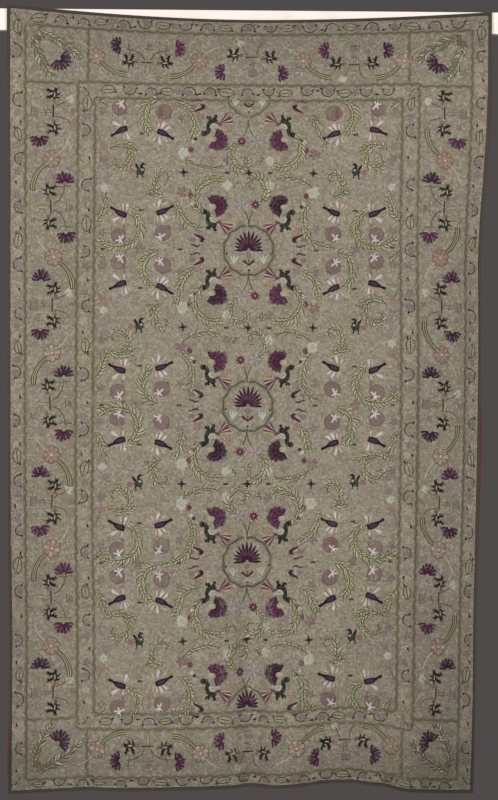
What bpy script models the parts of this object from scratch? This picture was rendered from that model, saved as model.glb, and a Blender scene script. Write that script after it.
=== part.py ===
"""Embroidered coverlet with a red lining, hung by its top edge from a flat white bar.

Frame: metres, +Z up. The origin is the centre of the bar's back face, which goes on a wall.
The cloth's front faces -Y. Across is measured from the cloth's middle line, + to the viewer's
right. Down is measured along the cloth from its top edge.
"""

import math

import bpy
import numpy as np

# Bar, a flat painted batten
BAR_LENGTH = 1.560
BAR_HEIGHT = 0.066
BAR_THICK = 0.022
BAR_BEVEL = 0.003

# Flat size and thickness of the cloths
CLOTH_WIDTH = 1.455
CLOTH_LENGTH = 2.340
FACE_THICK = 0.0015
LINING_THICK = 0.0010
GAP = 0.0004

# Grid of each cloth
COLUMNS = 36
ROWS = 34

# Top edge: corners pulled up, middle sagging
LEFT_CORNER_UP = 0.045
RIGHT_CORNER_UP = 0.033
MIDDLE_UP = 0.003
SAG_POWER = 1.8
SAG_FADE = 0.18
LEVEL_UP = 0.040

# Bottom edge: how much lower or higher it hangs than a straight cut, drawn up by its stitching
HEM_LEVELS = (
    # across, up
    (-0.73, -0.030),
    (-0.64, -0.018),
    (-0.50, -0.006),
    (-0.25, 0.000),
    (0.05, 0.007),
    (0.20, 0.011),
    (0.33, 0.025),
    (0.42, 0.020),
    (0.50, 0.006),
    (0.62, -0.004),
    (0.73, -0.012),
)
HEM_RISE_STARTS = 0.9

# Side drift of the middle line, at the top and at the bottom hem
MIDDLE_LINE_TOP = -0.0085
MIDDLE_LINE_BOTTOM = -0.0015

# Folds. at: across, at the height where the fold starts. left, right: how far it reaches to each
# side. depth: forward, or back if negative. lean: sideways per metre down. starts, full: down,
# where it begins and where it reaches its depth.
FOLDS = (
    # at, left, right, depth, lean, starts, full
    (-0.230, 0.520, 0.400, 0.056, -0.02, 0.20, 1.70),  # broad swell of the left half
    (0.240, 0.420, 0.340, 0.060, 0.01, 0.30, 1.60),  # broad swell of the right half
    (-0.095, 0.140, 0.105, 0.008, 0.00, 1.15, 1.95),  # ridge left of the middle crease
    (0.002, 0.062, 0.085, -0.019, 0.01, 1.20, 1.95),  # middle crease
    (0.220, 0.120, 0.110, 0.014, -0.05, 0.75, 1.25),  # ridge in the right half of the field
    (0.495, 0.280, 0.290, 0.080, -0.01, 0.00, 0.80),  # ridge where the right border turns back
    (0.438, 0.062, 0.058, -0.013, 0.00, 0.85, 1.60),  # crease beside the right border
    (0.780, 0.130, 0.200, -0.016, 0.00, 0.13, 0.75),  # right edge turned further back
    (-0.790, 0.200, 0.180, -0.024, 0.00, 0.13, 0.60),  # left edge turned back
    (-0.490, 0.070, 0.065, -0.009, 0.02, 1.40, 1.90),  # shallow trough in the left border
    (0.300, 0.250, 0.250, -0.046, 0.00, 1.75, 2.36),  # hem swept back
)

# How far the lining stands out past the face cloth at its two side edges, and down. Below zero it
# is hidden behind.
LINING_EDGES = (
    # down, left, right
    (0.00, -0.002, -0.002),
    (0.14, -0.002, 0.001),
    (0.30, -0.002, 0.003),
    (0.52, -0.002, 0.001),
    (0.90, -0.002, -0.002),
    (1.15, -0.002, 0.001),
    (1.24, -0.002, 0.006),
    (1.42, -0.002, 0.006),
    (1.55, -0.002, 0.003),
    (1.80, -0.002, 0.001),
    (2.10, -0.001, -0.002),
    (2.18, 0.004, -0.002),
    (2.27, 0.004, -0.002),
    (CLOTH_LENGTH, -0.002, -0.002),
)
LINING_TUCK = 0.003
LINING_LIP = 0.004

COLLECTION = "coverlet on a bar"
MATERIALS = {
    # name: colour, roughness
    "white_paint": ((0.80, 0.77, 0.71), 0.45),
    "embroidered_cotton": ((0.26, 0.235, 0.165), 0.90),
    "red_lining": ((0.22, 0.012, 0.02), 0.85),
}


def clear_scene():
    for item in list(bpy.data.objects):
        bpy.data.objects.remove(item, do_unlink=True)


def material(name):
    colour, roughness = MATERIALS[name]
    made = bpy.data.materials.new(name)
    made.use_nodes = True
    shader = made.node_tree.nodes["Principled BSDF"]
    shader.inputs["Base Color"].default_value = (*colour, 1.0)
    shader.inputs["Roughness"].default_value = roughness
    shader.inputs["Metallic"].default_value = 0.0
    return made


def ease(value, start, end):
    """Smooth step from 0 at start to 1 at end."""
    step = np.clip((value - start) / (end - start), 0.0, 1.0)
    return step * step * (3.0 - 2.0 * step)


def swell(distance, left, right):
    """Raised cosine: 1 at the middle, 0 at the reach on each side."""
    reach = np.where(distance < 0.0, left, right)
    phase = np.clip(np.abs(distance) / reach, 0.0, 1.0)
    return 0.5 + 0.5 * np.cos(math.pi * phase)


def forward(across, down):
    """How far the cloth stands in front of the bar's face."""
    total = np.zeros_like(across)
    for at, left, right, depth, lean, starts, full in FOLDS:
        middle = at + lean * (down - starts)
        total += depth * ease(down, starts, full) * swell(across - middle, left, right)
    return total


def top_edge(across):
    """Height of the top edge over the bar's middle line."""
    share = across / (CLOTH_WIDTH / 2)
    corner = np.where(share < 0.0, LEFT_CORNER_UP, RIGHT_CORNER_UP)
    return MIDDLE_UP + (corner - MIDDLE_UP) * np.abs(share) ** SAG_POWER


def hang(across, down):
    """World points of the hung cloth's middle layer, for two grids of flat places.

    The first index goes down the cloth and the second across. Each step along the cloth loses
    the length that its fold takes up.
    """
    depth = forward(across, down)
    side_step = np.sqrt(np.diff(across, axis=1) ** 2 - np.diff(depth, axis=1) ** 2)
    x = np.pad(np.cumsum(side_step, axis=1), ((0, 0), (1, 0)))
    drop = np.sqrt(np.diff(down, axis=0) ** 2 - np.diff(depth, axis=0) ** 2)
    z = LEVEL_UP - down[0] - np.pad(np.cumsum(drop, axis=0), ((1, 0), (0, 0)))
    z += (top_edge(across) - LEVEL_UP) * np.exp(-down / SAG_FADE)
    z += np.interp(across, *np.transpose(HEM_LEVELS)) * ease(down, HEM_RISE_STARTS, CLOTH_LENGTH)
    for row in range(len(x)):
        middle_line = np.interp(down[row, 0] / CLOTH_LENGTH, (0, 1), (MIDDLE_LINE_TOP, MIDDLE_LINE_BOTTOM))
        x[row] += middle_line - np.interp(0.0, across[row], x[row])
    face_middle = BAR_THICK + GAP + LINING_THICK + GAP + FACE_THICK / 2
    return np.stack((x, -face_middle - depth, z), axis=-1)


def set_back(points, distance):
    """The same surface moved back along its normals."""
    across_step = np.gradient(points, axis=1)
    down_step = np.gradient(points, axis=0)
    normal = np.cross(across_step, down_step)
    normal /= np.linalg.norm(normal, axis=-1, keepdims=True)
    return points + normal * distance


def cloth(name, points, thickness, paint):
    """One grid bent to the points and thickened."""
    rows, columns = points.shape[0] - 1, points.shape[1] - 1
    bpy.ops.mesh.primitive_grid_add(x_subdivisions=columns, y_subdivisions=rows, size=1.0)
    sheet = bpy.context.object
    sheet.name = name
    sheet.data.name = name
    # The grid's points run from its low edge up, so the rows are turned over
    sheet.data.vertices.foreach_set("co", points[::-1].reshape(-1))
    sheet.data.update()
    # The same diagonals in every cloth keep their layers apart
    split = sheet.modifiers.new("diagonals", "TRIANGULATE")
    split.quad_method = "FIXED"
    shell = sheet.modifiers.new("thickness", "SOLIDIFY")
    shell.thickness = thickness
    shell.offset = 0.0
    sheet.data.shade_smooth()
    return finish(sheet, paint)


def finish(item, paint):
    """Give the object its material and its place in the named collection."""
    item.data.materials.append(paint)
    for group in list(item.users_collection):
        group.objects.unlink(item)
    bpy.data.collections[COLLECTION].objects.link(item)
    return item


def hanging_bar():
    bpy.ops.mesh.primitive_cube_add(size=1.0, location=(0.0, -BAR_THICK / 2, 0.0))
    bar = bpy.context.object
    bar.name = "hanging_bar"
    bar.scale = (BAR_LENGTH, BAR_THICK, BAR_HEIGHT)
    bpy.ops.object.transform_apply(location=False, rotation=False, scale=True)
    bevel = bar.modifiers.new("eased edges", "BEVEL")
    bevel.width = BAR_BEVEL
    bevel.segments = 2
    return finish(bar, material("white_paint"))


def face_cloth():
    sides = np.linspace(-CLOTH_WIDTH / 2, CLOTH_WIDTH / 2, COLUMNS + 1)
    levels = np.linspace(0.0, CLOTH_LENGTH, ROWS + 1)
    across, down = np.meshgrid(sides, levels)
    return cloth("face_cloth", hang(across, down), FACE_THICK, material("embroidered_cotton"))


def lining():
    """The lining's columns match the face cloth's, with a narrow one added at each side edge."""
    sides = np.linspace(-CLOTH_WIDTH / 2, CLOTH_WIDTH / 2, COLUMNS + 1)
    sides[0] += LINING_LIP
    sides[-1] -= LINING_LIP
    sides = np.concatenate(([-CLOTH_WIDTH / 2], sides, [CLOTH_WIDTH / 2]))
    levels = np.linspace(0.0, CLOTH_LENGTH, ROWS + 1)
    levels[0] += LINING_TUCK
    levels[-1] -= LINING_TUCK
    across, down = np.meshgrid(sides, levels)
    edge_down, edge_left, edge_right = np.transpose(LINING_EDGES)
    across[:, 0] -= np.interp(levels, edge_down, edge_left)
    across[:, -1] += np.interp(levels, edge_down, edge_right)
    spacing = (FACE_THICK + LINING_THICK) / 2 + GAP
    return cloth("lining", set_back(hang(across, down), spacing), LINING_THICK, material("red_lining"))


def main():
    clear_scene()
    bpy.context.scene.collection.children.link(bpy.data.collections.new(COLLECTION))
    hanging_bar()
    face_cloth()
    lining()


main()
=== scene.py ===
"""Embroidered coverlet with a red lining, hung by its top edge from a flat white bar: the looks.

The face cloth and the lining are fine sheets on the folds of the CAD solids. The embroidery is
sewn on the face cloth stitch by stitch. Its motifs are charted in squares of 3 mm, and each
stitch is a small ridge of silk, laid on the hung cloth at its place.
"""

import math

import bpy
import numpy as np
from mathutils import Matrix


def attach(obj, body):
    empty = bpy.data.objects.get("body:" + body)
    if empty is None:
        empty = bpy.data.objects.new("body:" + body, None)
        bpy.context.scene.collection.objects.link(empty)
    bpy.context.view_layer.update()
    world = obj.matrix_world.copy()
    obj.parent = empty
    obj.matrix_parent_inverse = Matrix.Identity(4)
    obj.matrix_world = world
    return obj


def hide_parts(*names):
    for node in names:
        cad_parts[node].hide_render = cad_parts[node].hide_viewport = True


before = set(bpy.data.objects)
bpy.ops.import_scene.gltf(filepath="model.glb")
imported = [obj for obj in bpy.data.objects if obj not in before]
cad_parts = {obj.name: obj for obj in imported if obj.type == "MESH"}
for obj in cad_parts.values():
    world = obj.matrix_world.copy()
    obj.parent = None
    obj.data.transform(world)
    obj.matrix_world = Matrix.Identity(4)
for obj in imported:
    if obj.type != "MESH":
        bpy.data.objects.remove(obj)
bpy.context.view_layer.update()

draw = np.random.default_rng(11)

# Flat sizes, layers and hung shape of the cloths, as in the part's source
CLOTH_WIDTH = 1.455
CLOTH_LENGTH = 2.340
FACE_THICK = 0.0015
LINING_THICK = 0.0010
GAP = 0.0004
BAR_THICK = 0.022
LEFT_CORNER_UP = 0.045
RIGHT_CORNER_UP = 0.033
MIDDLE_UP = 0.003
SAG_POWER = 1.8
SAG_FADE = 0.18
LEVEL_UP = 0.040
HEM_LEVELS = (
    # across, up
    (-0.73, -0.030),
    (-0.64, -0.018),
    (-0.50, -0.006),
    (-0.25, 0.000),
    (0.05, 0.007),
    (0.20, 0.011),
    (0.33, 0.025),
    (0.42, 0.020),
    (0.50, 0.006),
    (0.62, -0.004),
    (0.73, -0.012),
)
HEM_RISE_STARTS = 0.9
MIDDLE_LINE_TOP = -0.0085
MIDDLE_LINE_BOTTOM = -0.0015
# Folds. at: across, at the height where the fold starts. left, right: how far it reaches to each
# side. depth: forward, or back if negative. lean: sideways per metre down. starts, full: down,
# where it begins and where it reaches its depth.
FOLDS = (
    # at, left, right, depth, lean, starts, full
    (-0.230, 0.520, 0.400, 0.056, -0.02, 0.20, 1.70),
    (0.240, 0.420, 0.340, 0.060, 0.01, 0.30, 1.60),
    (-0.095, 0.140, 0.105, 0.008, 0.00, 1.15, 1.95),
    (0.002, 0.062, 0.085, -0.019, 0.01, 1.20, 1.95),
    (0.220, 0.120, 0.110, 0.014, -0.05, 0.75, 1.25),
    (0.495, 0.280, 0.290, 0.080, -0.01, 0.00, 0.80),
    (0.438, 0.062, 0.058, -0.013, 0.00, 0.85, 1.60),
    (0.780, 0.130, 0.200, -0.016, 0.00, 0.13, 0.75),
    (-0.790, 0.200, 0.180, -0.024, 0.00, 0.13, 0.60),
    (-0.490, 0.070, 0.065, -0.009, 0.02, 1.40, 1.90),
    (0.300, 0.250, 0.250, -0.046, 0.00, 1.75, 2.36),
)
# How far the lining stands out past the face cloth at its two side edges
LINING_EDGES = (
    # down, left, right
    (0.00, -0.002, -0.002),
    (0.14, -0.002, 0.001),
    (0.30, -0.002, 0.003),
    (0.52, -0.002, 0.001),
    (0.90, -0.002, -0.002),
    (1.15, -0.002, 0.001),
    (1.24, -0.002, 0.006),
    (1.42, -0.002, 0.006),
    (1.55, -0.002, 0.003),
    (1.80, -0.002, 0.001),
    (2.10, -0.001, -0.002),
    (2.18, 0.004, -0.002),
    (2.27, 0.004, -0.002),
    (CLOTH_LENGTH, -0.002, -0.002),
)
LINING_TUCK = 0.003

# Hem of the face cloth: its width, how far it stands up, and the grid lines that shape it
HEM = 0.009
HEM_RISE = 0.0006
HEM_LINES = (0.0, 0.0012, 0.0040, 0.0080, 0.0096)

# Puckers that the needlework draws into the cloth
PUCKER = 0.0007
PUCKER_WAVES = 46
PUCKER_SPAN = (0.045, 0.16)

# Soft creases, left by folding and by the threads' pull
CREASES = (
    # from across, down, to across, down, half width, height
    (-0.700, 0.010, -0.330, 0.330, 0.028, 0.0030),
    (-0.690, 0.020, -0.560, 0.560, 0.026, 0.0026),
    (-0.660, 0.010, -0.150, 0.150, 0.026, 0.0022),
    (0.690, 0.010, 0.300, 0.260, 0.028, 0.0028),
    (0.700, 0.020, 0.560, 0.420, 0.024, 0.0024),
    (0.650, 0.010, 0.140, 0.120, 0.024, 0.0020),
    (-0.460, 0.900, -0.500, 2.050, 0.030, 0.0024),
    (-0.300, 1.350, -0.230, 2.200, 0.032, 0.0026),
    (-0.100, 1.400, -0.060, 2.260, 0.022, 0.0036),
    (0.060, 1.500, 0.085, 2.240, 0.020, 0.0034),
    (0.200, 0.800, 0.150, 1.250, 0.030, 0.0026),
    (0.385, 1.600, 0.400, 2.180, 0.018, 0.0036),
    (0.480, 0.700, 0.500, 1.900, 0.026, 0.0028),
    (0.630, 0.500, 0.610, 1.700, 0.030, 0.0022),
    (-0.620, 1.500, -0.640, 2.250, 0.024, 0.0024),
    (0.270, 1.950, 0.330, 2.300, 0.022, 0.0030),
)

# The chart. One square is 3 mm. Its numbers run to the right and down, and the cloth's middle line
# and top edge lie at these numbers.
SQUARE = 0.003
CHART_MIDDLE = 248.0
CHART_TOP = 12.2
# Lines that part the borders: squares from the middle line, and from the top edge
LINES_ACROSS = (153.5, 170.5, 223.5)
LINES_DOWN = (18.0, 73.8, 89.8, 703.4, 718.7, 766.4)
# The hem's stitching: squares from the top edge, from it at the bottom, and from the middle line
HEM_LINE = 3.0
HEM_LINE_LOW = 777.0
HEM_LINE_SIDE = 239.5
# The field repeats in half cells, turned over at two kinds of level. The drawn one's top, the first
# one's top on the cloth and the depth of each
CELL_START = 94.7
CELL_TOP = 99.0
CELL_DEEP = 77.95

# Thread: how far stitches of one dye may differ, and, in squares, the distance from one to the next
# beside it and the length of one
TINT = 0.10
PITCH = 0.60
STITCH = 3.6
# Metres: how high a stitch stands and how deep its edges are sunk
RISE = 0.0007
SUNK = 0.0003

DYES = {
    # name: thread it belongs to, red, green, blue
    "plum": ("plum_silk", 72, 20, 54),
    "plum_dark": ("plum_silk", 46, 14, 38),
    "plum_light": ("plum_silk", 94, 50, 78),
    "plum_brown": ("plum_silk", 98, 66, 76),
    "purple": ("plum_silk", 90, 66, 90),
    "maroon": ("plum_silk", 76, 20, 42),
    "magenta": ("plum_silk", 100, 22, 52),
    "black": ("dark_silk", 18, 12, 14),
    "green_black": ("dark_silk", 18, 28, 23),
    "brown_black": ("dark_silk", 58, 42, 36),
    "olive_dark": ("dark_silk", 66, 66, 44),
    "olive": ("green_silk", 86, 86, 58),
    "moss": ("green_silk", 112, 108, 76),
    "leaf": ("green_silk", 164, 158, 122),
    "leaf_pale": ("green_silk", 180, 174, 144),
    "sage": ("green_silk", 98, 102, 82),
    "sage_pale": ("green_silk", 130, 128, 104),
    "aqua_pale": ("pale_silk", 186, 183, 170),
    "lily_white": ("pale_silk", 206, 194, 194),
    "lilac": ("pale_silk", 132, 116, 114),
    "lilac_pale": ("pale_silk", 168, 152, 160),
    "grey_lilac": ("pale_silk", 119, 104, 102),
    "aqua": ("pale_silk", 181, 180, 164),
    "white": ("pale_silk", 196, 188, 182),
    "cream": ("cream_silk", 194, 174, 158),
    "cream_pale": ("cream_silk", 204, 190, 180),
    "gold": ("cream_silk", 178, 156, 120),
    "beige": ("cream_silk", 158, 144, 124),
    "pink": ("rose_silk", 184, 162, 152),
    "salmon": ("rose_silk", 146, 108, 96),
    "rose_brown": ("rose_silk", 122, 98, 94),
    "faded_pink": ("rose_silk", 138, 114, 104),
    "rosette_pink": ("rose_silk", 160, 132, 116),
    "faded_brown": ("rose_silk", 134, 108, 94),
    "faded_red": ("rose_silk", 124, 78, 74),
    "rust": ("rose_silk", 118, 80, 66),
    "brown": ("rose_silk", 98, 70, 58),
    "line": ("border_lines", 100, 94, 70),
    "line_pale": ("border_lines", 122, 114, 92),
    "hem_thread": ("border_lines", 66, 60, 46),
}


def ease(value, start, end):
    """Smooth step from 0 at start to 1 at end."""
    step = np.clip((value - start) / (end - start), 0.0, 1.0)
    return step * step * (3.0 - 2.0 * step)


def swell(distance, left, right):
    """Raised cosine: 1 at the middle, 0 at the reach on each side."""
    reach = np.where(distance < 0.0, left, right)
    phase = np.clip(np.abs(distance) / reach, 0.0, 1.0)
    return 0.5 + 0.5 * np.cos(math.pi * phase)


def forward(across, down):
    """How far the cloth stands in front of the bar's face."""
    total = np.zeros_like(across)
    for at, left, right, depth, lean, starts, full in FOLDS:
        middle = at + lean * (down - starts)
        total += depth * ease(down, starts, full) * swell(across - middle, left, right)
    return total


def top_edge(across):
    """Height of the top edge over the bar's middle line."""
    share = across / (CLOTH_WIDTH / 2)
    corner = np.where(share < 0.0, LEFT_CORNER_UP, RIGHT_CORNER_UP)
    return MIDDLE_UP + (corner - MIDDLE_UP) * np.abs(share) ** SAG_POWER


def hang(across, down):
    """Points of the hung face cloth's middle layer, for two grids of flat places."""
    depth = forward(across, down)
    side_step = np.sqrt(np.diff(across, axis=1) ** 2 - np.diff(depth, axis=1) ** 2)
    x = np.pad(np.cumsum(side_step, axis=1), ((0, 0), (1, 0)))
    drop = np.sqrt(np.diff(down, axis=0) ** 2 - np.diff(depth, axis=0) ** 2)
    z = LEVEL_UP - down[0] - np.pad(np.cumsum(drop, axis=0), ((1, 0), (0, 0)))
    z += (top_edge(across) - LEVEL_UP) * np.exp(-down / SAG_FADE)
    z += np.interp(across, *np.transpose(HEM_LEVELS)) * ease(down, HEM_RISE_STARTS, CLOTH_LENGTH)
    for row in range(len(x)):
        share = down[row, 0] / CLOTH_LENGTH
        middle_line = np.interp(share, (0, 1), (MIDDLE_LINE_TOP, MIDDLE_LINE_BOTTOM))
        x[row] += middle_line - np.interp(0.0, across[row], x[row])
    face_middle = BAR_THICK + GAP + LINING_THICK + GAP + FACE_THICK / 2
    return np.stack((x, -face_middle - depth, z), axis=-1)


def front_normals(points):
    """Unit normals of a grid of points, pointing to the viewer."""
    normal = np.cross(np.gradient(points, axis=0), np.gradient(points, axis=1))
    return normal / np.linalg.norm(normal, axis=-1, keepdims=True)


def puckers(across, down):
    """Uneven small swells between 0 and about 1, as a sum of long waves."""
    total = np.zeros_like(across)
    spans = draw.uniform(*PUCKER_SPAN, PUCKER_WAVES)
    turns = draw.uniform(0, math.pi, PUCKER_WAVES)
    shifts = draw.uniform(0, 2 * math.pi, PUCKER_WAVES)
    for span, turn, shift in zip(spans, turns, shifts):
        along = across * math.cos(turn) + down * math.sin(turn)
        total += np.sin(2 * math.pi * along / span + shift)
    return np.clip(0.5 + total / math.sqrt(PUCKER_WAVES) / 2.2, 0.0, 1.0)


def crease(across, down, row):
    """One soft ridge along a straight way, fading at both ends."""
    from_across, from_down, to_across, to_down, half_width, height = row
    way = np.array((to_across - from_across, to_down - from_down))
    length = np.linalg.norm(way)
    way = way / length
    along = (across - from_across) * way[0] + (down - from_down) * way[1]
    aside = (across - from_across) * way[1] - (down - from_down) * way[0]
    aside = aside + 0.006 * np.sin(along * 19.0 + length * 40.0)
    fade = ease(along, 0.0, 0.3 * length) * (1.0 - ease(along, 0.65 * length, length))
    return height * fade * np.exp(-((aside / half_width) ** 2))


def edge_distance(across, down):
    """Flat distance to the nearest edge of the face cloth."""
    sides = CLOTH_WIDTH / 2 - np.abs(across)
    ends = np.minimum(down, CLOTH_LENGTH - down)
    return np.minimum(sides, ends)


def relief(across, down):
    """How far the face cloth stands in front of its plain hung shape."""
    away = edge_distance(across, down)
    height = PUCKER * puckers(across, down)
    for row in CREASES:
        height = height + crease(across, down, row)
    height = height * ease(away, 0.0, 0.06)
    return height + HEM_RISE * (1.0 - ease(away, HEM - 0.0012, HEM + 0.0006))


def edged_steps(low, high, count):
    """Grid lines from low to high, with the hem's own lines at both ends."""
    lines = np.array(HEM_LINES)
    inner = np.linspace(low + 0.016, high - 0.016, count)
    return np.concatenate((low + lines, inner, (high - lines)[::-1]))


FACE_SIDES = edged_steps(-CLOTH_WIDTH / 2, CLOTH_WIDTH / 2, 130)
FACE_LEVELS = edged_steps(0.0, CLOTH_LENGTH, 204)
FACE_ACROSS, FACE_DOWN = np.meshgrid(FACE_SIDES, FACE_LEVELS)
FACE_PLAIN = hang(FACE_ACROSS, FACE_DOWN)
FACE_RELIEF = relief(FACE_ACROSS, FACE_DOWN)
FACE_MIDDLE = FACE_PLAIN + front_normals(FACE_PLAIN) * FACE_RELIEF[..., None]
FACE_NORMAL = front_normals(FACE_MIDDLE)
FACE_FRONT = FACE_MIDDLE + FACE_NORMAL * (FACE_THICK / 2)
FACE_BACK = FACE_PLAIN - front_normals(FACE_PLAIN) * (FACE_THICK / 2)


def on_cloth(across, down, lift):
    """World points at flat places of the face cloth's front, lifted off it."""
    column = np.interp(across, FACE_SIDES, np.arange(len(FACE_SIDES)))
    row = np.interp(down, FACE_LEVELS, np.arange(len(FACE_LEVELS)))
    left = np.minimum(column.astype(int), len(FACE_SIDES) - 2)
    top = np.minimum(row.astype(int), len(FACE_LEVELS) - 2)
    u = (column - left)[:, None]
    v = (row - top)[:, None]

    def blend(grid):
        upper = grid[top, left] * (1 - u) + grid[top, left + 1] * u
        lower = grid[top + 1, left] * (1 - u) + grid[top + 1, left + 1] * u
        return upper * (1 - v) + lower * v

    return blend(FACE_FRONT) + blend(FACE_NORMAL) * lift[:, None]


def mesh_object(name, points, faces, sides):
    """A mesh object from arrays of points and of faces that all have the same number of sides."""
    mesh = bpy.data.meshes.new(name)
    mesh.vertices.add(len(points))
    mesh.vertices.foreach_set("co", np.asarray(points, dtype=np.float32).reshape(-1))
    mesh.loops.add(faces.size)
    mesh.loops.foreach_set("vertex_index", faces.reshape(-1).astype(np.int32))
    mesh.polygons.add(len(faces))
    mesh.polygons.foreach_set("loop_start", np.arange(0, faces.size, sides, dtype=np.int32))
    mesh.update(calc_edges=True)
    mesh.validate()
    mesh.shade_smooth()
    item = bpy.data.objects.new(name, mesh)
    bpy.context.scene.collection.objects.link(item)
    return item


def flat_map(mesh, name, u, v):
    """A UV map from one value pair for each corner."""
    layer = mesh.uv_layers.new(name=name)
    pairs = np.stack((u, v), axis=-1).reshape(-1)
    layer.data.foreach_set("uv", pairs.astype(np.float32))


def bake_places(across, down, left=-CLOTH_WIDTH / 2):
    """Where flat places lie in the bake map, OFBake."""
    return 0.003 + (across - left) / CLOTH_LENGTH * 0.98, 0.995 - down / CLOTH_LENGTH * 0.98


def sheet(name, across, down, front, back):
    """A closed thin sheet between two grids of points, front and back, with its rim.

    Its map "flat" has the cloth's own flat places in metres. Its map "OFBake" lays the front and
    the back side by side.
    """
    rows, columns = across.shape
    index = np.arange(rows * columns).reshape(rows, columns)
    behind = index + rows * columns

    def quads(a, b, c, d):
        return np.stack((a, b, c, d), axis=-1).reshape(-1, 4)

    front_faces = quads(index[:-1, :-1], index[1:, :-1], index[1:, 1:], index[:-1, 1:])
    back_faces = quads(behind[:-1, :-1], behind[:-1, 1:], behind[1:, 1:], behind[1:, :-1])
    rim = np.concatenate(
        (
            quads(index[0, :-1], index[0, 1:], behind[0, 1:], behind[0, :-1]),
            quads(index[-1, 1:], index[-1, :-1], behind[-1, :-1], behind[-1, 1:]),
            quads(index[1:, 0], index[:-1, 0], behind[:-1, 0], behind[1:, 0]),
            quads(index[:-1, -1], index[1:, -1], behind[1:, -1], behind[:-1, -1]),
        )
    )
    faces = np.concatenate((rim, back_faces, front_faces))
    points = np.concatenate((front.reshape(-1, 3), back.reshape(-1, 3)))
    item = mesh_object(name, points, faces, 4)
    flat_u = np.tile(across.reshape(-1), 2)[faces]
    flat_v = np.tile(down.reshape(-1), 2)[faces]
    flat_map(item.data, "flat", flat_u, flat_v)
    bake_u, bake_v = bake_places(flat_u, flat_v, across.min())
    behind_faces = slice(len(rim), len(rim) + len(back_faces))
    bake_u[behind_faces] = 0.64 + bake_u[behind_faces] * 0.56
    flat_map(item.data, "OFBake", bake_u, bake_v)
    return item


def lining_sheet():
    """The lining, behind the face cloth on the same folds."""
    sides = edged_steps(-CLOTH_WIDTH / 2, CLOTH_WIDTH / 2, 64)
    levels = np.linspace(LINING_TUCK, CLOTH_LENGTH - LINING_TUCK, 110)
    across, down = np.meshgrid(sides, levels)
    edge_down, edge_left, edge_right = np.transpose(LINING_EDGES)
    across[:, 0] -= np.interp(levels, edge_down, edge_left)
    across[:, -1] += np.interp(levels, edge_down, edge_right)
    middle = hang(across, down)
    normal = front_normals(middle)
    spacing = (FACE_THICK + LINING_THICK) / 2 + GAP
    front = middle - normal * (spacing - LINING_THICK / 2)
    back = middle - normal * (spacing + LINING_THICK / 2)
    return sheet("red_lining", across, down, front, back)


# Sewing

# The stitches of each thread, kept until its mesh is made
SEWN = {}


def linear(red, green, blue):
    """A dye's colour for the shader, from its written 0 to 255 values."""
    return (np.array((red, green, blue)) / 255.0) ** 2.2


def sew(dye, starts, ends, width, rise=RISE):
    """Keep a row of stitches, given by their ends in chart squares."""
    starts = np.atleast_2d(starts)
    ends = np.atleast_2d(ends)
    count = len(starts)
    thread, *colour = DYES[dye]
    shade = 1.0 + draw.uniform(-TINT, TINT, (count, 1))
    sizes = np.broadcast_to((width, rise), (count, 2))
    SEWN.setdefault(thread, []).append(np.concatenate((starts, ends, sizes, linear(*colour) * shade), axis=1))


def same(points):
    """The frame of a motif that is charted where it lies."""
    return points


def toward(degrees):
    """The unit direction at an angle."""
    turn = math.radians(degrees)
    return np.array((math.cos(turn), math.sin(turn)))


def beside(way):
    """The direction a quarter turn on from a direction, or from each of a row of them."""
    return np.stack((-way[..., 1], way[..., 0]), axis=-1)


def path_length(path):
    """Length of a line through many points."""
    return np.linalg.norm(np.diff(path, axis=0), axis=1).sum()


def spot(x, y, turn=0.0, flip_x=1, flip_y=1, size=1.0, inside=same):
    """A frame: takes a motif's own points to a place, turned and turned over."""
    turn = math.radians(turn)
    spin = np.array(((math.cos(turn), -math.sin(turn)), (math.sin(turn), math.cos(turn))))

    def put(points):
        points = np.asarray(points, dtype=float) * (flip_x * size, flip_y * size)
        return inside(points @ spin.T + (x, y))

    return put


def curve(points, closed=False):
    """A smooth line through the points, with a point about every third of a square."""
    points = np.asarray(points, dtype=float)
    if len(points) == 2:
        steps = max(2, int(np.linalg.norm(points[1] - points[0]) * 2))
        return np.linspace(points[0], points[1], steps)
    if closed:
        knots = np.concatenate((points[-1:], points, points[:2]))
    else:
        knots = np.concatenate((2 * points[:1] - points[1:2], points, 2 * points[-1:] - points[-2:-1]))
    pieces = []
    for a, b, c, d in zip(knots, knots[1:], knots[2:], knots[3:]):
        steps = max(3, int(np.linalg.norm(c - b) * 2.5))
        t = np.linspace(0, 1, steps, endpoint=False)[:, None]
        pieces.append(
            0.5 * (2 * b + (c - a) * t + (2 * a - 5 * b + 4 * c - d) * t**2 + (3 * b - a - 3 * c + d) * t**3)
        )
    pieces.append(knots[-2:-1])
    return np.concatenate(pieces)


def walk(path, places):
    """Points and unit directions at lengths along a path."""
    steps = np.linalg.norm(np.diff(path, axis=0), axis=1)
    run = np.concatenate(([0.0], np.cumsum(steps)))
    at = np.stack([np.interp(places, run, path[:, k]) for k in (0, 1)], axis=-1)
    near = 0.15
    ahead = np.stack([np.interp(places + near, run, path[:, k]) for k in (0, 1)], axis=-1)
    behind = np.stack([np.interp(places - near, run, path[:, k]) for k in (0, 1)], axis=-1)
    way = ahead - behind
    return at, way / np.maximum(np.linalg.norm(way, axis=1, keepdims=True), 1e-9)


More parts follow.
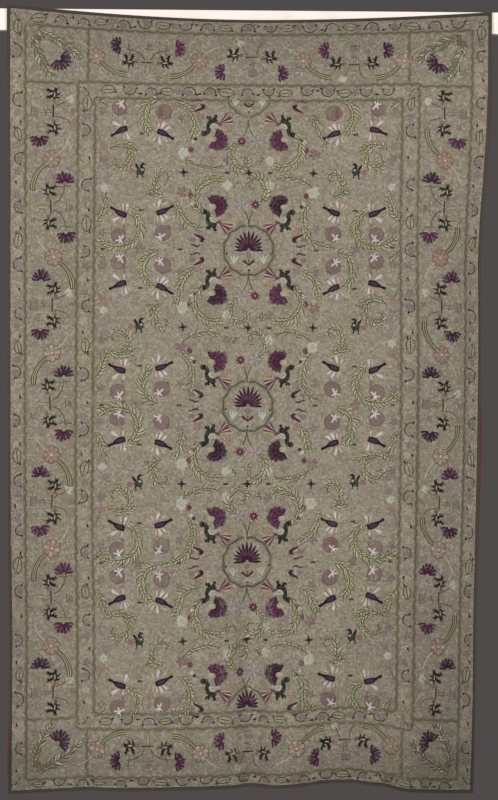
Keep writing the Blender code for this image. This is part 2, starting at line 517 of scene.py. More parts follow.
def blade(dye, points, widths, put, stitch=STITCH, pitch=PITCH, closed=False, rise=RISE):
    """Fill a strip along a line with rows of stitches. Its widths are spread evenly along it."""
    path = put(curve(points, closed))
    length = path_length(path)
    widths = np.atleast_1d(widths).astype(float)
    rows = max(1, round(widths.max() / pitch))
    thread = max(0.4, widths.max() / rows * 1.18)
    count = max(1, round(length / (stitch * 0.88)))
    step = length / count
    for row in range(rows):
        share = 0.0 if rows == 1 else row / (rows - 1) * 2 - 1
        begin = np.arange(count) * step - (row % 2) * step / 2
        end = np.clip(begin + step * 1.14, 0.0, length)
        begin = np.clip(begin, 0.0, length)
        sides = []
        for places in (begin, end):
            at, way = walk(path, places)
            local = np.interp(places / length, np.linspace(0, 1, len(widths)), widths)
            aside = share * np.maximum(local - thread, 0.0) / 2
            sides.append(at + beside(way) * aside[:, None])
        keep = end - begin > 0.35
        sew(dye, sides[0][keep], sides[1][keep], thread, rise)


def line(dye, points, width, put, stitch=STITCH, closed=False, rise=RISE):
    """A stem-stitched line, one row or a few side by side."""
    blade(dye, points, width, put, stitch, 0.9, closed, rise)


def disc(dye, x, y, radius, put, turn=0.0, stretch=1.0, stitch=4.2, rise=RISE):
    """Fill a round or oval with straight rows."""
    way = toward(turn)
    rows = max(2, round(2 * radius / 0.74))
    starts = []
    ends = []
    for offset in (np.arange(rows) + 0.5) / rows * 2 - 1:
        half = radius * stretch * math.sqrt(1 - offset * offset)
        count = max(1, round(2 * half / stitch))
        cuts = np.linspace(-half, half, count + 1)
        cuts[1:-1] += draw.uniform(-0.6, 0.6, count - 1)
        base = np.array((x, y)) + beside(way) * offset * radius
        starts.append(base + way * (cuts[:-1, None] - 0.2))
        ends.append(base + way * (cuts[1:, None] + 0.2))
    sew(dye, put(np.concatenate(starts)), put(np.concatenate(ends)), 2 * radius / rows * 1.2, rise)


def ring(dye, x, y, radius, width, put, start=0, end=360):
    """A stitched round line, or a part of one."""
    turns = np.radians(np.linspace(start, end, max(5, int(abs(end - start) / 24) + 1)))
    points = np.stack((x + radius * np.cos(turns), y + radius * np.sin(turns)), axis=-1)
    line(dye, points, width, put, stitch=max(1.2, min(STITCH, radius * 0.8)))


def rays(dye, near, far, middle, half, put, round_tip, jag):
    """Fill a sector with rings of stitches that point away from its focus at the origin."""
    rings = max(1, math.ceil((far - near) / 4.6))
    edges = np.linspace(near, far, rings + 1)
    for inner, outer in zip(edges, edges[1:]):
        arc = math.radians(2 * half) * outer
        count = max(1, round(arc / 0.72))
        shares = (np.arange(count) + 0.5) / count * 2 - 1
        turns = np.radians(middle + half * shares)
        way = np.stack((np.cos(turns), np.sin(turns)), axis=-1)
        last = outer == far
        short = round_tip * (far - near) * shares[:, None] ** 2 * last
        jitter = draw.uniform(-jag, jag, (count, 1)) * (1 if last else 0.5)
        sew(dye, put(way * (inner - 0.4)), put(way * (outer + 0.3 + jitter - short)), arc / count * 1.12)


def petal(dye, x, y, turn, length, width, put, edge=None, root=0.4, rise=RISE):
    """A drop-shaped petal from its root, with an edge of its own where it has one."""
    way = toward(turn)
    start = np.array((x, y))
    widths = width * np.array((root, 0.3 + root, 0.9, 1.0, 0.75))
    blade(dye, (start, start + way * length), widths, put, 4.4, 0.95, rise=rise)
    if edge:
        tip = start + way * (length + 0.4)
        belly = start + way * length * 0.72
        for side in (0.5, -0.5):
            line(edge, (start, belly + beside(way) * width * side, tip), 0.6, put, 5.0, rise=RISE * 1.2)


def strokes(dye, rows, width, put):
    """Loose straight stitches, a row for each: from x, y, to x, y."""
    for x0, y0, x1, y1 in rows:
        blade(dye, ((x0, y0), (x1, y1)), width, put, 4.4, 0.85)


def dot(dye, x, y, radius, put, rise=RISE):
    """A small padded dot."""
    disc(dye, x, y, radius, put, turn=draw.uniform(0, 180), stitch=2 * radius + 1, rise=rise)


def plume(points, put, width, slant=33, dye="leaf"):
    """A feather: a dark stem with pale, dark-edged leaves along both sides of it."""
    line("olive_dark", points, 0.9, put)
    path = curve(points)
    length = path_length(path)
    count = max(4, round(length / 3.6))
    at, way = walk(path, np.linspace(0.0, 0.93, count) * length)
    for k, (place, stem) in enumerate(zip(at, way)):
        long = width * (0.72 + 0.40 * math.sin(math.pi * ((k + 0.5) / count) ** 0.8))
        for side in (-1, 1):
            root = place + stem * draw.uniform(-0.9, 0.9)
            out = toward(math.degrees(math.atan2(stem[1], stem[0])) + side * (slant + draw.uniform(-13, 13)))
            aside = beside(out) * side
            reach = long * draw.uniform(0.72, 1.16)
            tip = root + out * reach
            bend = aside * draw.uniform(0.2, 1.0) * 0.6
            fill = "leaf_pale" if draw.random() < 0.35 else dye
            spine = (root + out * 0.8, root + out * reach * 0.5 + bend, tip - out * 0.2)
            blade(fill, spine, (1.6, 2.1, 1.6), put, 9.0, 2.2, rise=RISE * 0.8)
            belly = root + out * reach * 0.6 + aside * 0.9 + bend
            edge = draw.uniform(0.8, 1.1)
            line("olive_dark", (root + out * 0.4, belly, tip + out * 0.4), edge, put, 4.0, rise=RISE * 1.2)


# Motifs, each charted round its own origin


def carnation(put, near=2.2, far=11.6, half=88, petals=8, flat=0.86, family=None, spread=0.40):
    """A fan of plum petals with jagged tips, merged towards the root. It opens down from its focus."""
    dyes = (("plum_dark", "plum"), ("plum", "plum"), ("plum", "plum_light"), ("plum_dark", "plum"))
    family = dyes[int(draw.integers(0, 4))] if family is None else family
    span = 2 * half / petals
    for k in range(petals):
        dye = family[k % 2]
        middle = 90 - half + span * (k + 0.5)
        reach = far * (flat + (1 - flat) * toward(middle)[1] ** 2) + draw.uniform(-0.6, 0.8)
        neck = near + (reach - near) * 0.72
        rays(dye, near, neck, middle, span / 2, put, round_tip=0.0, jag=0.2)
        rays(dye, neck, reach, middle, span * spread, put, round_tip=0.3, jag=0.7)
    for k in range(1, petals):
        if spread > 0.45 and k % 4 != 2:
            continue
        way = toward(90 - half + span * k) * far
        start = draw.uniform(0.36, 0.52)
        dye = "lilac_pale" if k % 2 else "purple"
        line(dye, (way * start, way * (start + 0.34)), 0.7, put, 6.0, rise=RISE * 1.9)


def rosette(put):
    """A round flower of looped faded petals with brown edges."""
    petals = 8
    radius = 8.8
    lobe = radius * math.sin(math.pi / petals) * 0.88
    shade = ("pink", "rosette_pink", "rosette_pink", "beige")
    first = int(draw.integers(0, 4))
    for k in range(petals):
        turn = 360 / petals * k + draw.uniform(-4, 4)
        x, y = toward(turn) * (radius - lobe)
        disc(shade[(first + k % 2) % 4], x, y, lobe * 0.84, put, turn, 1.1)
        ring("brown", x, y, lobe * 1.05, 1.1, put, turn - 135, turn + 135)
    disc("faded_brown", 0, 0, 2.8, put, 30)
    dot("cream_pale", 0, 0, 1.7, put, RISE * 1.6)


def round_stem(points, put):
    """The thick stem of a rosette: three dark lines with paler silk between."""
    blade("leaf", points, (2.4, 2.8, 3.6, 4.4, 3.2), put, pitch=0.9)
    path = curve(points)
    _, way = walk(path, np.linspace(0, path_length(path), len(path)))
    swellings = np.interp(np.linspace(0, 1, len(path)), (0, 0.6, 0.85, 1), (1.4, 1.9, 2.5, 1.6))[:, None]
    for share in (-1, 0, 1):
        line("olive_dark", (path + beside(way) * swellings * share)[::3], 1.2, put, rise=RISE * 1.7)


def border_bird(put):
    """A black bird seen from above: its head points down, its tail up, its longer legs right."""
    disc("black", 0, -0.4, 2.4, put, 90, 2.2)
    blade("cream", ((0.2, -3.4), (0.2, -0.8), (0.3, 1.6)), (1.0, 2.0, 1.0), put, rise=RISE * 1.8)
    blade("black", ((-0.3, 3.0), (-1.2, 7.4)), (2.6, 4.4), put)
    strokes("black", ((1.4, -1.2, 9.2, -5.4), (1.4, 2.4, 9.8, 3.2)), 2.4, put)
    strokes("black", ((2.6, -2.4, 6.0, -6.0), (3.4, 2.4, 7.0, 0.2)), 1.9, put)
    strokes("black", ((-1.4, -3.8, -6.2, -3.0), (-2.0, -0.8, -6.6, 2.2)), 1.9, put)
    strokes("black", ((5.0, -3.4, 8.6, -2.4), (5.4, 3.0, 8.6, 5.8)), 1.5, put)
    strokes("rust", ((-0.2, -5.4, -1.0, -10.4), (0.4, -5.4, 1.4, -10.6)), 1.7, put)
    strokes("salmon", ((-1.2, -6.0, -2.6, -9.4), (1.6, -6.4, 3.0, -9.2)), 1.2, put)


def field_bird(put):
    """A small black bird with a raised wing and a faded red tail, on the bird line."""
    for turn, dye in ((-160, "rust"), (-174, "salmon"), (172, "rust"), (158, "salmon")):
        petal(dye, -3.8, 0.8, turn, 7.6, 2.0, put, edge="faded_pink")
    disc("black", -0.2, 1.2, 2.7, put, 10, 1.45)
    blade("black", ((1.0, -7.2), (0.6, -4.4), (1.0, -1.2)), (3.4, 2.4, 3.0), put)
    blade("black", ((0.6, -7.4), (4.8, -7.0)), (2.8, 1.4), put)
    blade("black", ((2.2, -4.2), (4.4, -1.0), (3.2, 2.2)), 1.6, put)
    blade("black", ((-5.2, -7.0), (-3.8, -3.8), (-1.4, -0.4)), (1.4, 3.4, 2.8), put)
    strokes("black", ((-2.6, 2.6, -3.0, 6.8), (1.6, 2.6, 2.6, 6.2)), 1.9, put)
    strokes("black", ((-4.2, 6.9, -1.6, 6.8), (1.4, 6.3, 4.0, 6.1)), 1.4, put)
    dot("white", 1.8, -1.2, 1.2, put, RISE * 1.8)


def lily(put, size=1.0):
    """A white flower of five bold strokes over a pomegranate."""
    for turn, length in ((192, 5.6), (-112, 4.4), (-58, 5.0), (118, 4.6), (52, 6.2)):
        turn += draw.uniform(-9, 9)
        petal("lily_white", 0, 0, turn, length * size, 2.9 * size, put, root=0.6, rise=RISE * 1.9)
    strokes("brown", ((0.8, -4.6, 2.0, -1.6), (3.4, -3.2, 3.6, 0.6), (-2.6, 1.6, -3.8, 3.2)), 0.9, put)


def pomegranate(put, radius=7.4, redder=False):
    """A faded rose-brown round fruit under a white lily."""
    disc("rose_brown", 0, 0, radius, put, turn=28)
    for near, far in ((0.15, 0.42), (0.50, 0.85)):
        for turn in (150, 174, 198, 20, -10):
            way = toward(turn) * radius
            line("faded_pink", (way * near, way * far), 0.7, put, rise=RISE * 1.3)
    if redder:
        blade("faded_red", ((-3.6, -4.6), (-2.8, 0.6), (-3.0, 5.4)), (2.6, 4.4, 3.0), put, rise=RISE * 1.3)
    ring("brown", 0, 0, radius, 0.9, put)
    strokes("brown", ((5.0, 6.0, 7.0, 7.6), (6.2, 5.0, 8.6, 5.2)), 1.3, put)


def tulip(put, petals):
    """A plum bulb with a tail, in a fan of pale petals. Its head is at its origin."""
    for x, y, turn, length, width, dye in petals:
        turn = turn + draw.uniform(-5, 5)
        edge = "faded_pink" if dye in ("cream", "cream_pale", "pink") else None
        petal(dye, x, y, turn, length, width, put, edge, root=0.16)
    bulb = ((1.4, -2.2), (-2.4, -1.2), (-6.4, 0.4), (-10.4, 2.8), (-12.4, 3.9))
    blade("plum_dark", bulb, (4.8, 6.4, 6.2, 3.4, 1.6), put, 3.0, rise=RISE * 1.8)
    blade("purple", ((-0.2, -1.7), (-4.5, -0.4), (-8.2, 1.5)), (1.8, 3.4, 1.0), put, 3.0, rise=RISE * 2.5)
    blade("plum_dark", ((-11.0, 3.2), (-15.2, 5.2)), (2.4, 3.0), put, 2.6, rise=RISE * 1.8)
    dot("plum_dark", -14.6, 5.0, 1.5, put, RISE * 1.8)


TAIL_STRIPES = ("plum_brown", "gold", "plum_brown", "plum_light", "cream", "plum_brown", "gold")


def neck_bird(put):
    """A bird with an S-shaped dark neck, a pale body and a striped tail fan."""
    dot("green_black", -8.8, 10.4, 2.9, put)
    neck = (
        (-8.8, 10.6), (-5.6, 10.2), (-4.4, 7.4), (-4.9, 3.2),
        (-4.6, 0.0), (-2.0, -2.4), (1.6, -2.8), (4.4, -1.8),
    )
    blade("green_black", neck, (4.6, 5.0, 4.6, 4.6, 4.8, 5.0, 3.6), put, 3.4)
    strokes("black", ((-6.8, -6.6, -0.6, -3.4), (2.2, -9.6, 1.8, -2.8)), 2.8, put)
    strokes("black", ((-3.8, -8.0, -2.2, -4.6), (-0.6, -6.4, 1.6, -4.4)), 2.0, put)
    strokes("black", ((2.4, -7.4, 4.0, -9.2), (-6.2, -6.2, -5.8, -8.2)), 2.0, put)
    disc("aqua", 0.4, 2.0, 2.6, put, -25, 1.35)
    dot("white", -2.2, 3.6, 1.4, put, RISE * 1.4)
    line("sage", ((-1.6, 3.8), (0.6, 2.8), (2.8, 0.8)), 0.9, put, rise=RISE * 1.6)
    blade("plum_brown", ((3.2, -0.6), (6.4, -0.2), (9.4, 0.6)), (2.0, 3.0, 4.0), put)
    blade("pink", ((3.4, 3.4), (9.0, 4.4)), 2.2, put)
    root = np.array((6.6, -0.6))
    for k, dye in enumerate(TAIL_STRIPES):
        way = toward(-56 + 9 * k)
        wide = (1.0, 2.3) if dye in ("gold", "cream") else (1.6, 3.2)
        blade(dye, (root + way, root + way * 13.8), wide, put, 5.4, 1.0, rise=RISE * 1.2)
    for turn, length, dye in ((62, 7.4, "gold"), (38, 9.4, "beige"), (22, 8.4, "gold")):
        petal(dye, 11.0, 1.6, turn, length, 2.6, put, "brown")


def star_flower(put):
    """Eight dark petals round a pink middle."""
    for turn in range(0, 360, 45):
        petal("magenta" if turn % 90 else "maroon", 0, 0, turn, 4.8, 3.6, put)
    dot("pink", 0, 0, 1.3, put, RISE * 1.8)


def daisy(put):
    """A spiky faded flower."""
    for turn in range(0, 360, 36):
        petal("lilac_pale" if turn % 72 else "lilac", 0, 0, turn + draw.uniform(-6, 6), 6.6, 2.2, put)
    dot("grey_lilac", 0, 0, 1.4, put)


def cross(put):
    """A plum cross of four short blades."""
    for turn in (0, 90, 180, 270):
        blade("plum_dark", (toward(turn) * -0.6, toward(turn) * 5.0), (2.0, 2.6, 2.4), put, 6.0)


def faint_flower(put, dye, radius, petals=5):
    """A small soft faded flower between the motifs."""
    blade(dye, ((-radius * 0.7, 0), (radius * 0.7, 0)), radius * 1.3, put, 9.0, 1.5, rise=RISE * 0.6)
    for k in range(petals):
        way = toward(360 / petals * k + draw.uniform(0, 36)) * radius
        blade(dye, (way * 0.3, way * 1.1), radius * 0.62, put, 6.0, 9.0, rise=RISE * 0.6)


def aqua_flower(put, size=4.8):
    """A soft pale flower, like a small cloud."""
    disc("aqua", 0, 0, size * 0.62, put, 20, 1.1, 5.0, RISE * 0.7)
    for k, turn in enumerate((-160, -100, -45, 10, 70, 130)):
        way = toward(turn + draw.uniform(-14, 14)) * size * draw.uniform(0.88, 1.08)
        dye = "aqua_pale" if k % 2 else "aqua"
        blade(dye, (way * 0.45, way), (size * 0.7, size * 0.6), put, 6.0, 1.3, rise=RISE * 0.6)


def medallion(put, petals=13):
    """A palmette of plum petals that opens up from its origin, with pale lines between them."""
    step = 186 / (petals - 1)
    for k in range(petals):
        way = toward(-183 + step * k)
        reach = way * (14.0 + 6.0 * way[1] ** 2 + draw.uniform(-0.8, 0.8))
        dye = "plum" if k % 3 else "plum_dark"
        blade(dye, (way * 1.2, reach * 0.5, reach), (1.3, 2.5, 3.4, 2.6, 1.0), put)
        if k < petals - 1:
            way = toward(-183 + step * (k + 0.5))
            line("lilac", (way * 5.6, way * (10.5 + 2.0 * way[1] ** 2)), 0.6, put, rise=RISE * 1.6)


def medallion_heart(put):
    """What hangs under the palmette: a bud, a maroon V, dots and two pale fans."""
    bud = ((0, 2.6), (-2.4, 4.6), (-1.6, 7.6), (0, 8.8), (1.6, 7.6), (2.4, 4.6))
    line("olive", bud, 0.8, put, closed=True)
    disc("lilac", 0, 5.6, 1.6, put, turn=90, stretch=1.4)
    for side in (-1, 1):
        blade("maroon", ((0, 15.8), (side * 6.2, 10.2)), (1.4, 2.2, 2.6), put)
        blade("salmon", ((side * 1.0, 13.2), (side * 2.8, 11.0)), (0.9, 1.6), put)
        root = np.array((side * 15.4, 14.4))
        for turn, dye in ((240, "aqua"), (264, "aqua_pale"), (288, "aqua")):
            petal(dye, *root, turn if side > 0 else 180 - turn, 8.8, 2.8, put)
            line("sage", (root, root + toward(turn + 12) * (side, 1) * 8.4), 0.7, put, 9.0)
        dot("cream", side * 2.8, 19.6, 1.0, put)
        blade("black", ((side * 20.8, 4.6), (side * 23.8, 3.8)), 2.0, put)
        blade("aqua", ((side * 19.2, 5.4), (side * 21.0, 4.8)), 1.2, put)
    strokes("maroon", ((0, 9.6, 0, 15.6),), 1.1, put)
    dot("pink", 0, 18.4, 1.1, put)
    dot("black", 0.1, 20.9, 1.1, put)
    line("olive", ((0, 22.4), (0, 25.0)), 0.8, put)


def scalloped_ring(put):
    """The ring of a medallion, scalloped, on its own centre."""
    turns = np.linspace(-math.pi / 2, 1.5 * math.pi, 120)
    reach = 24.2 + 1.8 * np.abs(np.sin(turns * 6))
    points = np.stack((reach * np.cos(turns), reach * np.sin(turns)), axis=-1)[::3]
    line("olive", points, 1.7, put)
    line("olive_dark", points * 0.955, 0.8, put)
    line("line_pale", points * 0.90, 0.6, put)


def comma(put):
    """Two dark hooks, one under the other."""
    upper = ((-5.5, 5.0), (-1.6, 2.6), (3.0, 0.6), (4.4, -1.4), (2.6, -2.8), (-0.4, -2.6))
    blade("maroon", upper, (1.4, 2.4, 3.6, 3.4, 2.8, 1.6), put)
    dot("plum_dark", 2.8, -0.8, 2.0, put, RISE * 1.4)
    lower = ((-9.5, -6.2), (-6.5, -6.0), (-4.5, -7.4), (-1.5, -7.9), (0.4, -6.2))
    blade("maroon", lower, (1.4, 1.8, 2.4, 1.8), put)
    dot("pink", -2.6, 0.6, 1.5, put)
    disc("grey_lilac", -7.0, -0.6, 2.2, put, turn=0, stretch=1.6)


def comb(put):
    """A faded comb of five bars."""
    for k in range(5):
        line("grey_lilac", ((-4.2 + 2.0 * k, -3.8), (-3.8 + 2.0 * k, 3.4)), 1.6, put, 5.0)
    line("purple", ((-4.8, 3.6), (4.8, 3.8)), 1.1, put)


def corner_spray(put):
    """Two crossed dark leaf strokes with a faded flower."""
    strokes("plum_dark", ((0, 0, 4.6, 4.6), (5.2, 5.8, 7.0, 9.0), (-1.5, 1.5, -4.5, 0.5)), 1.2, put)
    faint_flower(spot(6.5, 1.5, inside=put), "lilac", 2.6)


# Fan petals of the left and the right tulip of a half cell
LEFT_PETALS = (
    # x, y of the root, turn, length, width, dye
    (-4.6, -3.8, -147, 10.2, 4.6, "cream_pale"),
    (-3.6, -4.2, -114, 7.6, 2.8, "beige"),
    (-0.6, -4.0, -94, 8.0, 4.0, "cream"),
    (1.6, -3.6, -62, 7.6, 1.8, "gold"),
    (2.4, 0.0, 34, 8.6, 2.4, "gold"),
    (2.0, 1.4, 54, 7.0, 2.8, "cream"),
    (0.4, 1.6, 80, 9.4, 4.4, "cream_pale"),
    (-2.0, 2.4, 99, 9.0, 4.0, "pink"),
    (-5.0, 4.0, 122, 6.4, 3.4, "beige"),
)

RIGHT_PETALS = (
    # x, y of the root, turn, length, width, dye
    (2.4, -3.0, -80, 8.4, 2.0, "gold"),
    (0.4, -3.7, -96, 8.0, 3.6, "cream"),
    (-2.2, -3.8, -119, 9.0, 4.8, "cream_pale"),
    (-5.2, -2.6, -138, 8.6, 4.0, "cream_pale"),
    (-7.9, -0.8, -160, 8.0, 3.6, "beige"),
    (2.4, 1.4, 26, 8.6, 2.6, "gold"),
    (1.8, 2.4, 62, 8.0, 3.6, "cream"),
    (-0.4, 3.0, 99, 9.6, 4.2, "cream_pale"),
    (-4.4, 4.6, 138, 8.0, 4.0, "pink"),
)

CELL_KINDS = {
    # Rows that have it, counted from the top: in the left half, in the right half
    "big arc": ((1, 4, 5), (1, 3, 5)),
    "inner plume": ((0, 2, 3, 6), (0, 2, 4, 6)),
    "curl": ((0, 3, 5, 6), (0, 2, 4, 6)),
    "feather": ((1, 3, 4, 6), (1, 4, 6)),
    "loop": ((1, 2, 4, 6), (0, 2, 5, 6)),
    "paisley": ((0, 2, 5, 7), (1, 3, 4, 6)),
    "star": ((0, 3, 4, 7), (1, 2, 5, 6)),
}

# Plumes: the leafy arc round a tulip, a curl, a hook, and one curled up like a paisley
CURL = ((122, 146), (129.4, 152), (130, 160), (124.6, 167), (116.4, 168.4), (112, 163), (116, 157.6))
HOOK = ((146, 150), (155, 154), (154.6, 162), (157, 170), (164, 173), (169, 168.6), (165.4, 163.6))
BIG_ARC = (
    (125, 136), (134, 130), (139, 122), (140, 113), (136, 104),
    (127, 98.5), (115, 97), (105, 100), (98, 106),
)
PAISLEY = (
    (236, 143), (231, 149), (230, 155), (232, 162), (236, 167),
    (241, 169), (246, 166), (247, 158), (243, 155),
)

# The leafy arc beside each row's tulips
ARCS_LEFT = (
    ((175, 101), (184, 105), (189, 110), (194, 118), (195, 127), (189, 141)),
    ((176, 143), (178, 135), (182, 127), (188, 120), (195, 117), (204, 117)),
    ((194, 114), (187, 119), (182.5, 126), (178.6, 136), (176, 151)),
    ((181, 149), (187, 142), (191.6, 136), (193, 122), (190, 110)),
    ((184, 121), (182, 131), (176, 146)),
    ((190, 139), (194, 129), (194, 117), (189, 106), (182, 99), (172, 95), (160, 93)),
    ((199, 120), (190, 122), (183, 127), (178.6, 139), (173.5, 149)),
    ((183, 137), (188, 130), (191, 120), (190, 108), (182, 101), (174, 105)),
)

ARCS_RIGHT = (
    ((189, 114), (183, 119), (178, 127), (174, 135), (169, 143)),
    ((187, 143), (192, 135), (193, 124), (191, 113), (184, 104), (174, 99), (161, 97)),
    ((193, 117), (185, 121), (180, 129), (178, 143)),
    ((185, 146), (190, 139), (193, 127), (192, 112), (185, 104), (174, 99)),
    ((193, 116), (189, 127), (186, 140)),
    ((174, 143), (177, 133), (183, 123), (194, 114)),
    ((192, 120), (185, 125), (180, 133), (174, 146)),
    ((199, 142), (192, 135), (188, 127), (188, 112), (183, 103), (174, 106)),
)

# The small faded flowers of a half cell
FILLERS = (
    # x, y, radius, dye
    (199, 115, 4.4, "faded_pink"),
    (103, 147, 4.4, "faded_pink"),
    (226, 147, 2.8, "grey_lilac"),
    (222, 100, 3.4, "faded_pink"),
    (181, 117, 4.2, "grey_lilac"),
    (107, 166, 4.4, "lilac"),
    (102, 111, 4.4, "grey_lilac"),
    (135, 160, 1.8, "lilac"),
    (148, 152, 2.0, "lilac"),
    (105, 122, 3.0, "beige"),
    (173, 104, 2.4, "faded_pink"),
    (134, 112, 3.0, "sage_pale"),
    (134, 102, 2.6, "faded_pink"),
    (171, 121, 2.8, "beige"),
    (176, 140, 3.0, "beige"),
    (212, 158, 3.8, "faded_pink"),
    (240, 122, 3.2, "faded_pink"),
    (226, 112, 3.0, "lilac"),
    (168, 149, 3.2, "beige"),
    (150, 138, 2.4, "beige"),
    (215, 106, 2.4, "beige"),
    (112, 153, 2.4, "beige"),
    (98, 131, 2.8, "faded_pink"),
    (206, 150, 3.0, "lilac"),
)


# The field


def half_cell(put, side, row):
    """One half cell of the field, in the drawn one's numbers. Some motifs change from row to row."""
    kinds = {name: rows[0 if side > 0 else 1] for name, rows in CELL_KINDS.items()}

    def wild(x, y, turn=0.0, flip=1):
        return spot(x, y, turn + draw.uniform(-4, 4), flip_x=flip, inside=put)

    pomegranate(wild(118.5, 108))
    lily(wild(120.6, 103.8, draw.uniform(-15, 15)))
    strokes("olive_dark", ((124.5, 94.5, 123.4, 99.5), (126.6, 97.0, 125.2, 100.5)), 0.9, put)
    pomegranate(wild(163, 111.0), 7.8, redder=row in (0, 5))
    if row:
        lily(wild(160.6, 107.0, draw.uniform(-15, 25)), 0.95)
    disc("grey_lilac", 124, 118.5, 1.6, put, turn=90, stretch=1.5)
    tulip(wild(125.4, 130.4), LEFT_PETALS)
    tulip(wild(157.8, 133.0, 0, -1), RIGHT_PETALS)
    blade("plum_dark", ((138.4, 133.7), (144.0, 133.9)), 2.2, put)

    if row in kinds["big arc"]:
        plume(BIG_ARC, put, 7.6)
    if row in kinds["inner plume"]:
        plume(((158, 97), (149.5, 100), (144.4, 107), (143, 115), (145, 124), (151, 133)), put, 8.0)
    if row == 7:
        plume(((129, 127), (137, 121), (140, 112), (133, 100)), put, 7.4)
    plume((ARCS_LEFT if side > 0 else ARCS_RIGHT)[row], put, 6.4)

    comma(wild(199.5, 105.8))
    neck_bird(wild(212.5, 122.6))
    carnation(wild(213.0, 138.0, -66), 3.2, 15.0, 98, 11, 0.72, spread=0.49)
    disc("leaf_pale", 211.6, 138.6, 2.4, put, stretch=1.3, rise=RISE * 1.5)
    dot("black", 195, 138.5, 1.8, put)
    disc("lily_white", 192.3, 141.4, 1.8, put, turn=15, stretch=1.2)
    strokes("cream", ((193.0, 136.4, 199.4, 133.6),), 1.4, put)
    dot("magenta", 190.4, 149.4, 2.7, put)
    strokes("lilac", ((187.4, 146.4, 192.8, 145.4), (187.6, 152.8, 193.4, 153.0)), 1.4, put)

    if row % 2 == (0 if side > 0 else 1) or row == 5:
        aqua_flower(wild(183.0, 153.0), 7.0)
    else:
        faint_flower(wild(182, 153), "rose_brown", 5.6, 6)
    if (row + (side < 0)) % 3:
        aqua_flower(wild(227, 160, 30), 5.4)
    else:
        faint_flower(wild(227, 160, 30), "rose_brown", 4.6)

    if row in kinds["loop"]:
        plume(((201.5, 131), (195, 142), (196, 154), (203, 163), (213, 166.4), (223, 166)), put, 7.4)
    else:
        plume(((184, 158), (190, 163), (199, 166.6), (208, 168.4), (221, 166)), put, 4.8)
    if row in kinds["curl"]:
        plume(((109, 150), (115, 146), (123, 144.6), (131, 146.6), (137, 152)), put, 5.8)
        plume(CURL, put, 5.6)
        faint_flower(wild(103, 160), "grey_lilac", 4.4)
    else:
        plume(HOOK, put, 5.4)
        plume(((163, 149), (156, 151), (150, 158)), put, 5.4)
        aqua_flower(wild(104, 156, 10), 4.6)
    if row in kinds["feather"]:
        plume(((96.5, 122), (101.5, 129), (104, 137), (108, 147)), put, 6.0)
    else:
        plume(((95, 98), (100, 101.6), (106, 106)), put, 4.6)
        line("olive", ((97, 133), (99.5, 140), (103, 146)), 0.9, put)
        faint_flower(wild(102, 148), "faded_pink", 4.2)
    if row in kinds["paisley"]:
        plume(PAISLEY, put, 6.2)
    else:
        plume(((233, 157), (237, 163)), put, 4.0)
    if row in kinds["star"]:
        star_flower(wild(241, 140.5))
        line("olive", ((248, 118), (246.4, 127), (243.4, 135)), 1.5, put)
    else:
        daisy(wild(240.4, 141))
        line("olive", ((248.5, 118), (247.4, 127), (243.6, 135)), 1.5, put)
        line("leaf", ((247.0, 119), (245.4, 127), (241.8, 135)), 0.9, put)
    for x, y, radius, dye in FILLERS:
        faint_flower(wild(x, y, draw.uniform(0, 60)), dye, radius)


# Levels of the three whole medallions
MEDALLION_LEVELS = (255.2, 411.2, 567.0)


def field():
    """Sixteen half cells, turned over down and across, and what lies on the lines between them."""
    for row in range(8):
        over = row % 2
        level = CELL_TOP + CELL_DEEP * (row + over)
        for side in (1, -1):
            half_cell(turned_over(side, -1 if over else 1, level), side, row)
    for row in range(0, 8, 2):
        level = CELL_TOP + CELL_DEEP * (row + 1)
        for side in (1, -1):
            put = turned_over(side, 1, CELL_START)
            field_bird(spot(140, level - 1, draw.uniform(-6, 6), inside=put))
            cross(spot(183.2, level, draw.uniform(-5, 5), inside=put))
            blade("plum_dark", ((224.0, level), (229.6, level)), 2.4, put)
            if row < 6:
                blade("plum_dark", ((177.6, level + CELL_DEEP), (183.2, level + CELL_DEEP)), 2.2, put)
                blade("plum_dark", ((100.4, level + CELL_DEEP), (105.6, level + CELL_DEEP)), 2.1, put)
                faint_flower(spot(140, level + CELL_DEEP, 40, inside=put), "rose_brown", 5.4)
        cross(spot(CHART_MIDDLE + 0.4, level, draw.uniform(-5, 5)))
    for level in MEDALLION_LEVELS:
        middle = spot(CHART_MIDDLE + 0.6, level, draw.uniform(-2, 2))
        scalloped_ring(middle)
        medallion(spot(0, -0.8, inside=middle))
        medallion_heart(spot(0, -0.8, inside=middle))
    half_medallions()


def half_medallions():
    """The halves of medallions that the top and bottom of the field cut."""
    top = spot(CHART_MIDDLE, 100.6)
    arch = ((-21, 2.8), (-19, 7.8), (-15, 10.8), (-12, 15.0), (-7, 16.4), (-4, 19.0), (0, 19.6))
    for side in (1, -1):
        line("olive", [(x * side, y) for x, y in arch], 2.0, top)
        line("moss", [(x * side * 0.93, y - 1.6) for x, y in arch], 0.7, top)
    medallion_heart(spot(0, -5.4, size=0.92, inside=top))
    bottom = spot(CHART_MIDDLE + 1.0, 711.5)
    medallion(spot(0, 0, size=0.86, inside=bottom), 11)
    for side in (1, -1):
        line("olive", [(x * side, 2 - y * 1.1) for x, y in arch], 2.0, bottom)


def turned_over(side, up, level):
    """A frame for the drawn numbers of the top left part: turned over across and down."""

    def put(points):
        points = np.asarray(points, dtype=float)
        x = CHART_MIDDLE + side * (points[:, 0] - CHART_MIDDLE)
        return np.stack((x, level + up * (points[:, 1] - CELL_START)), axis=-1)

    return put


# The main border

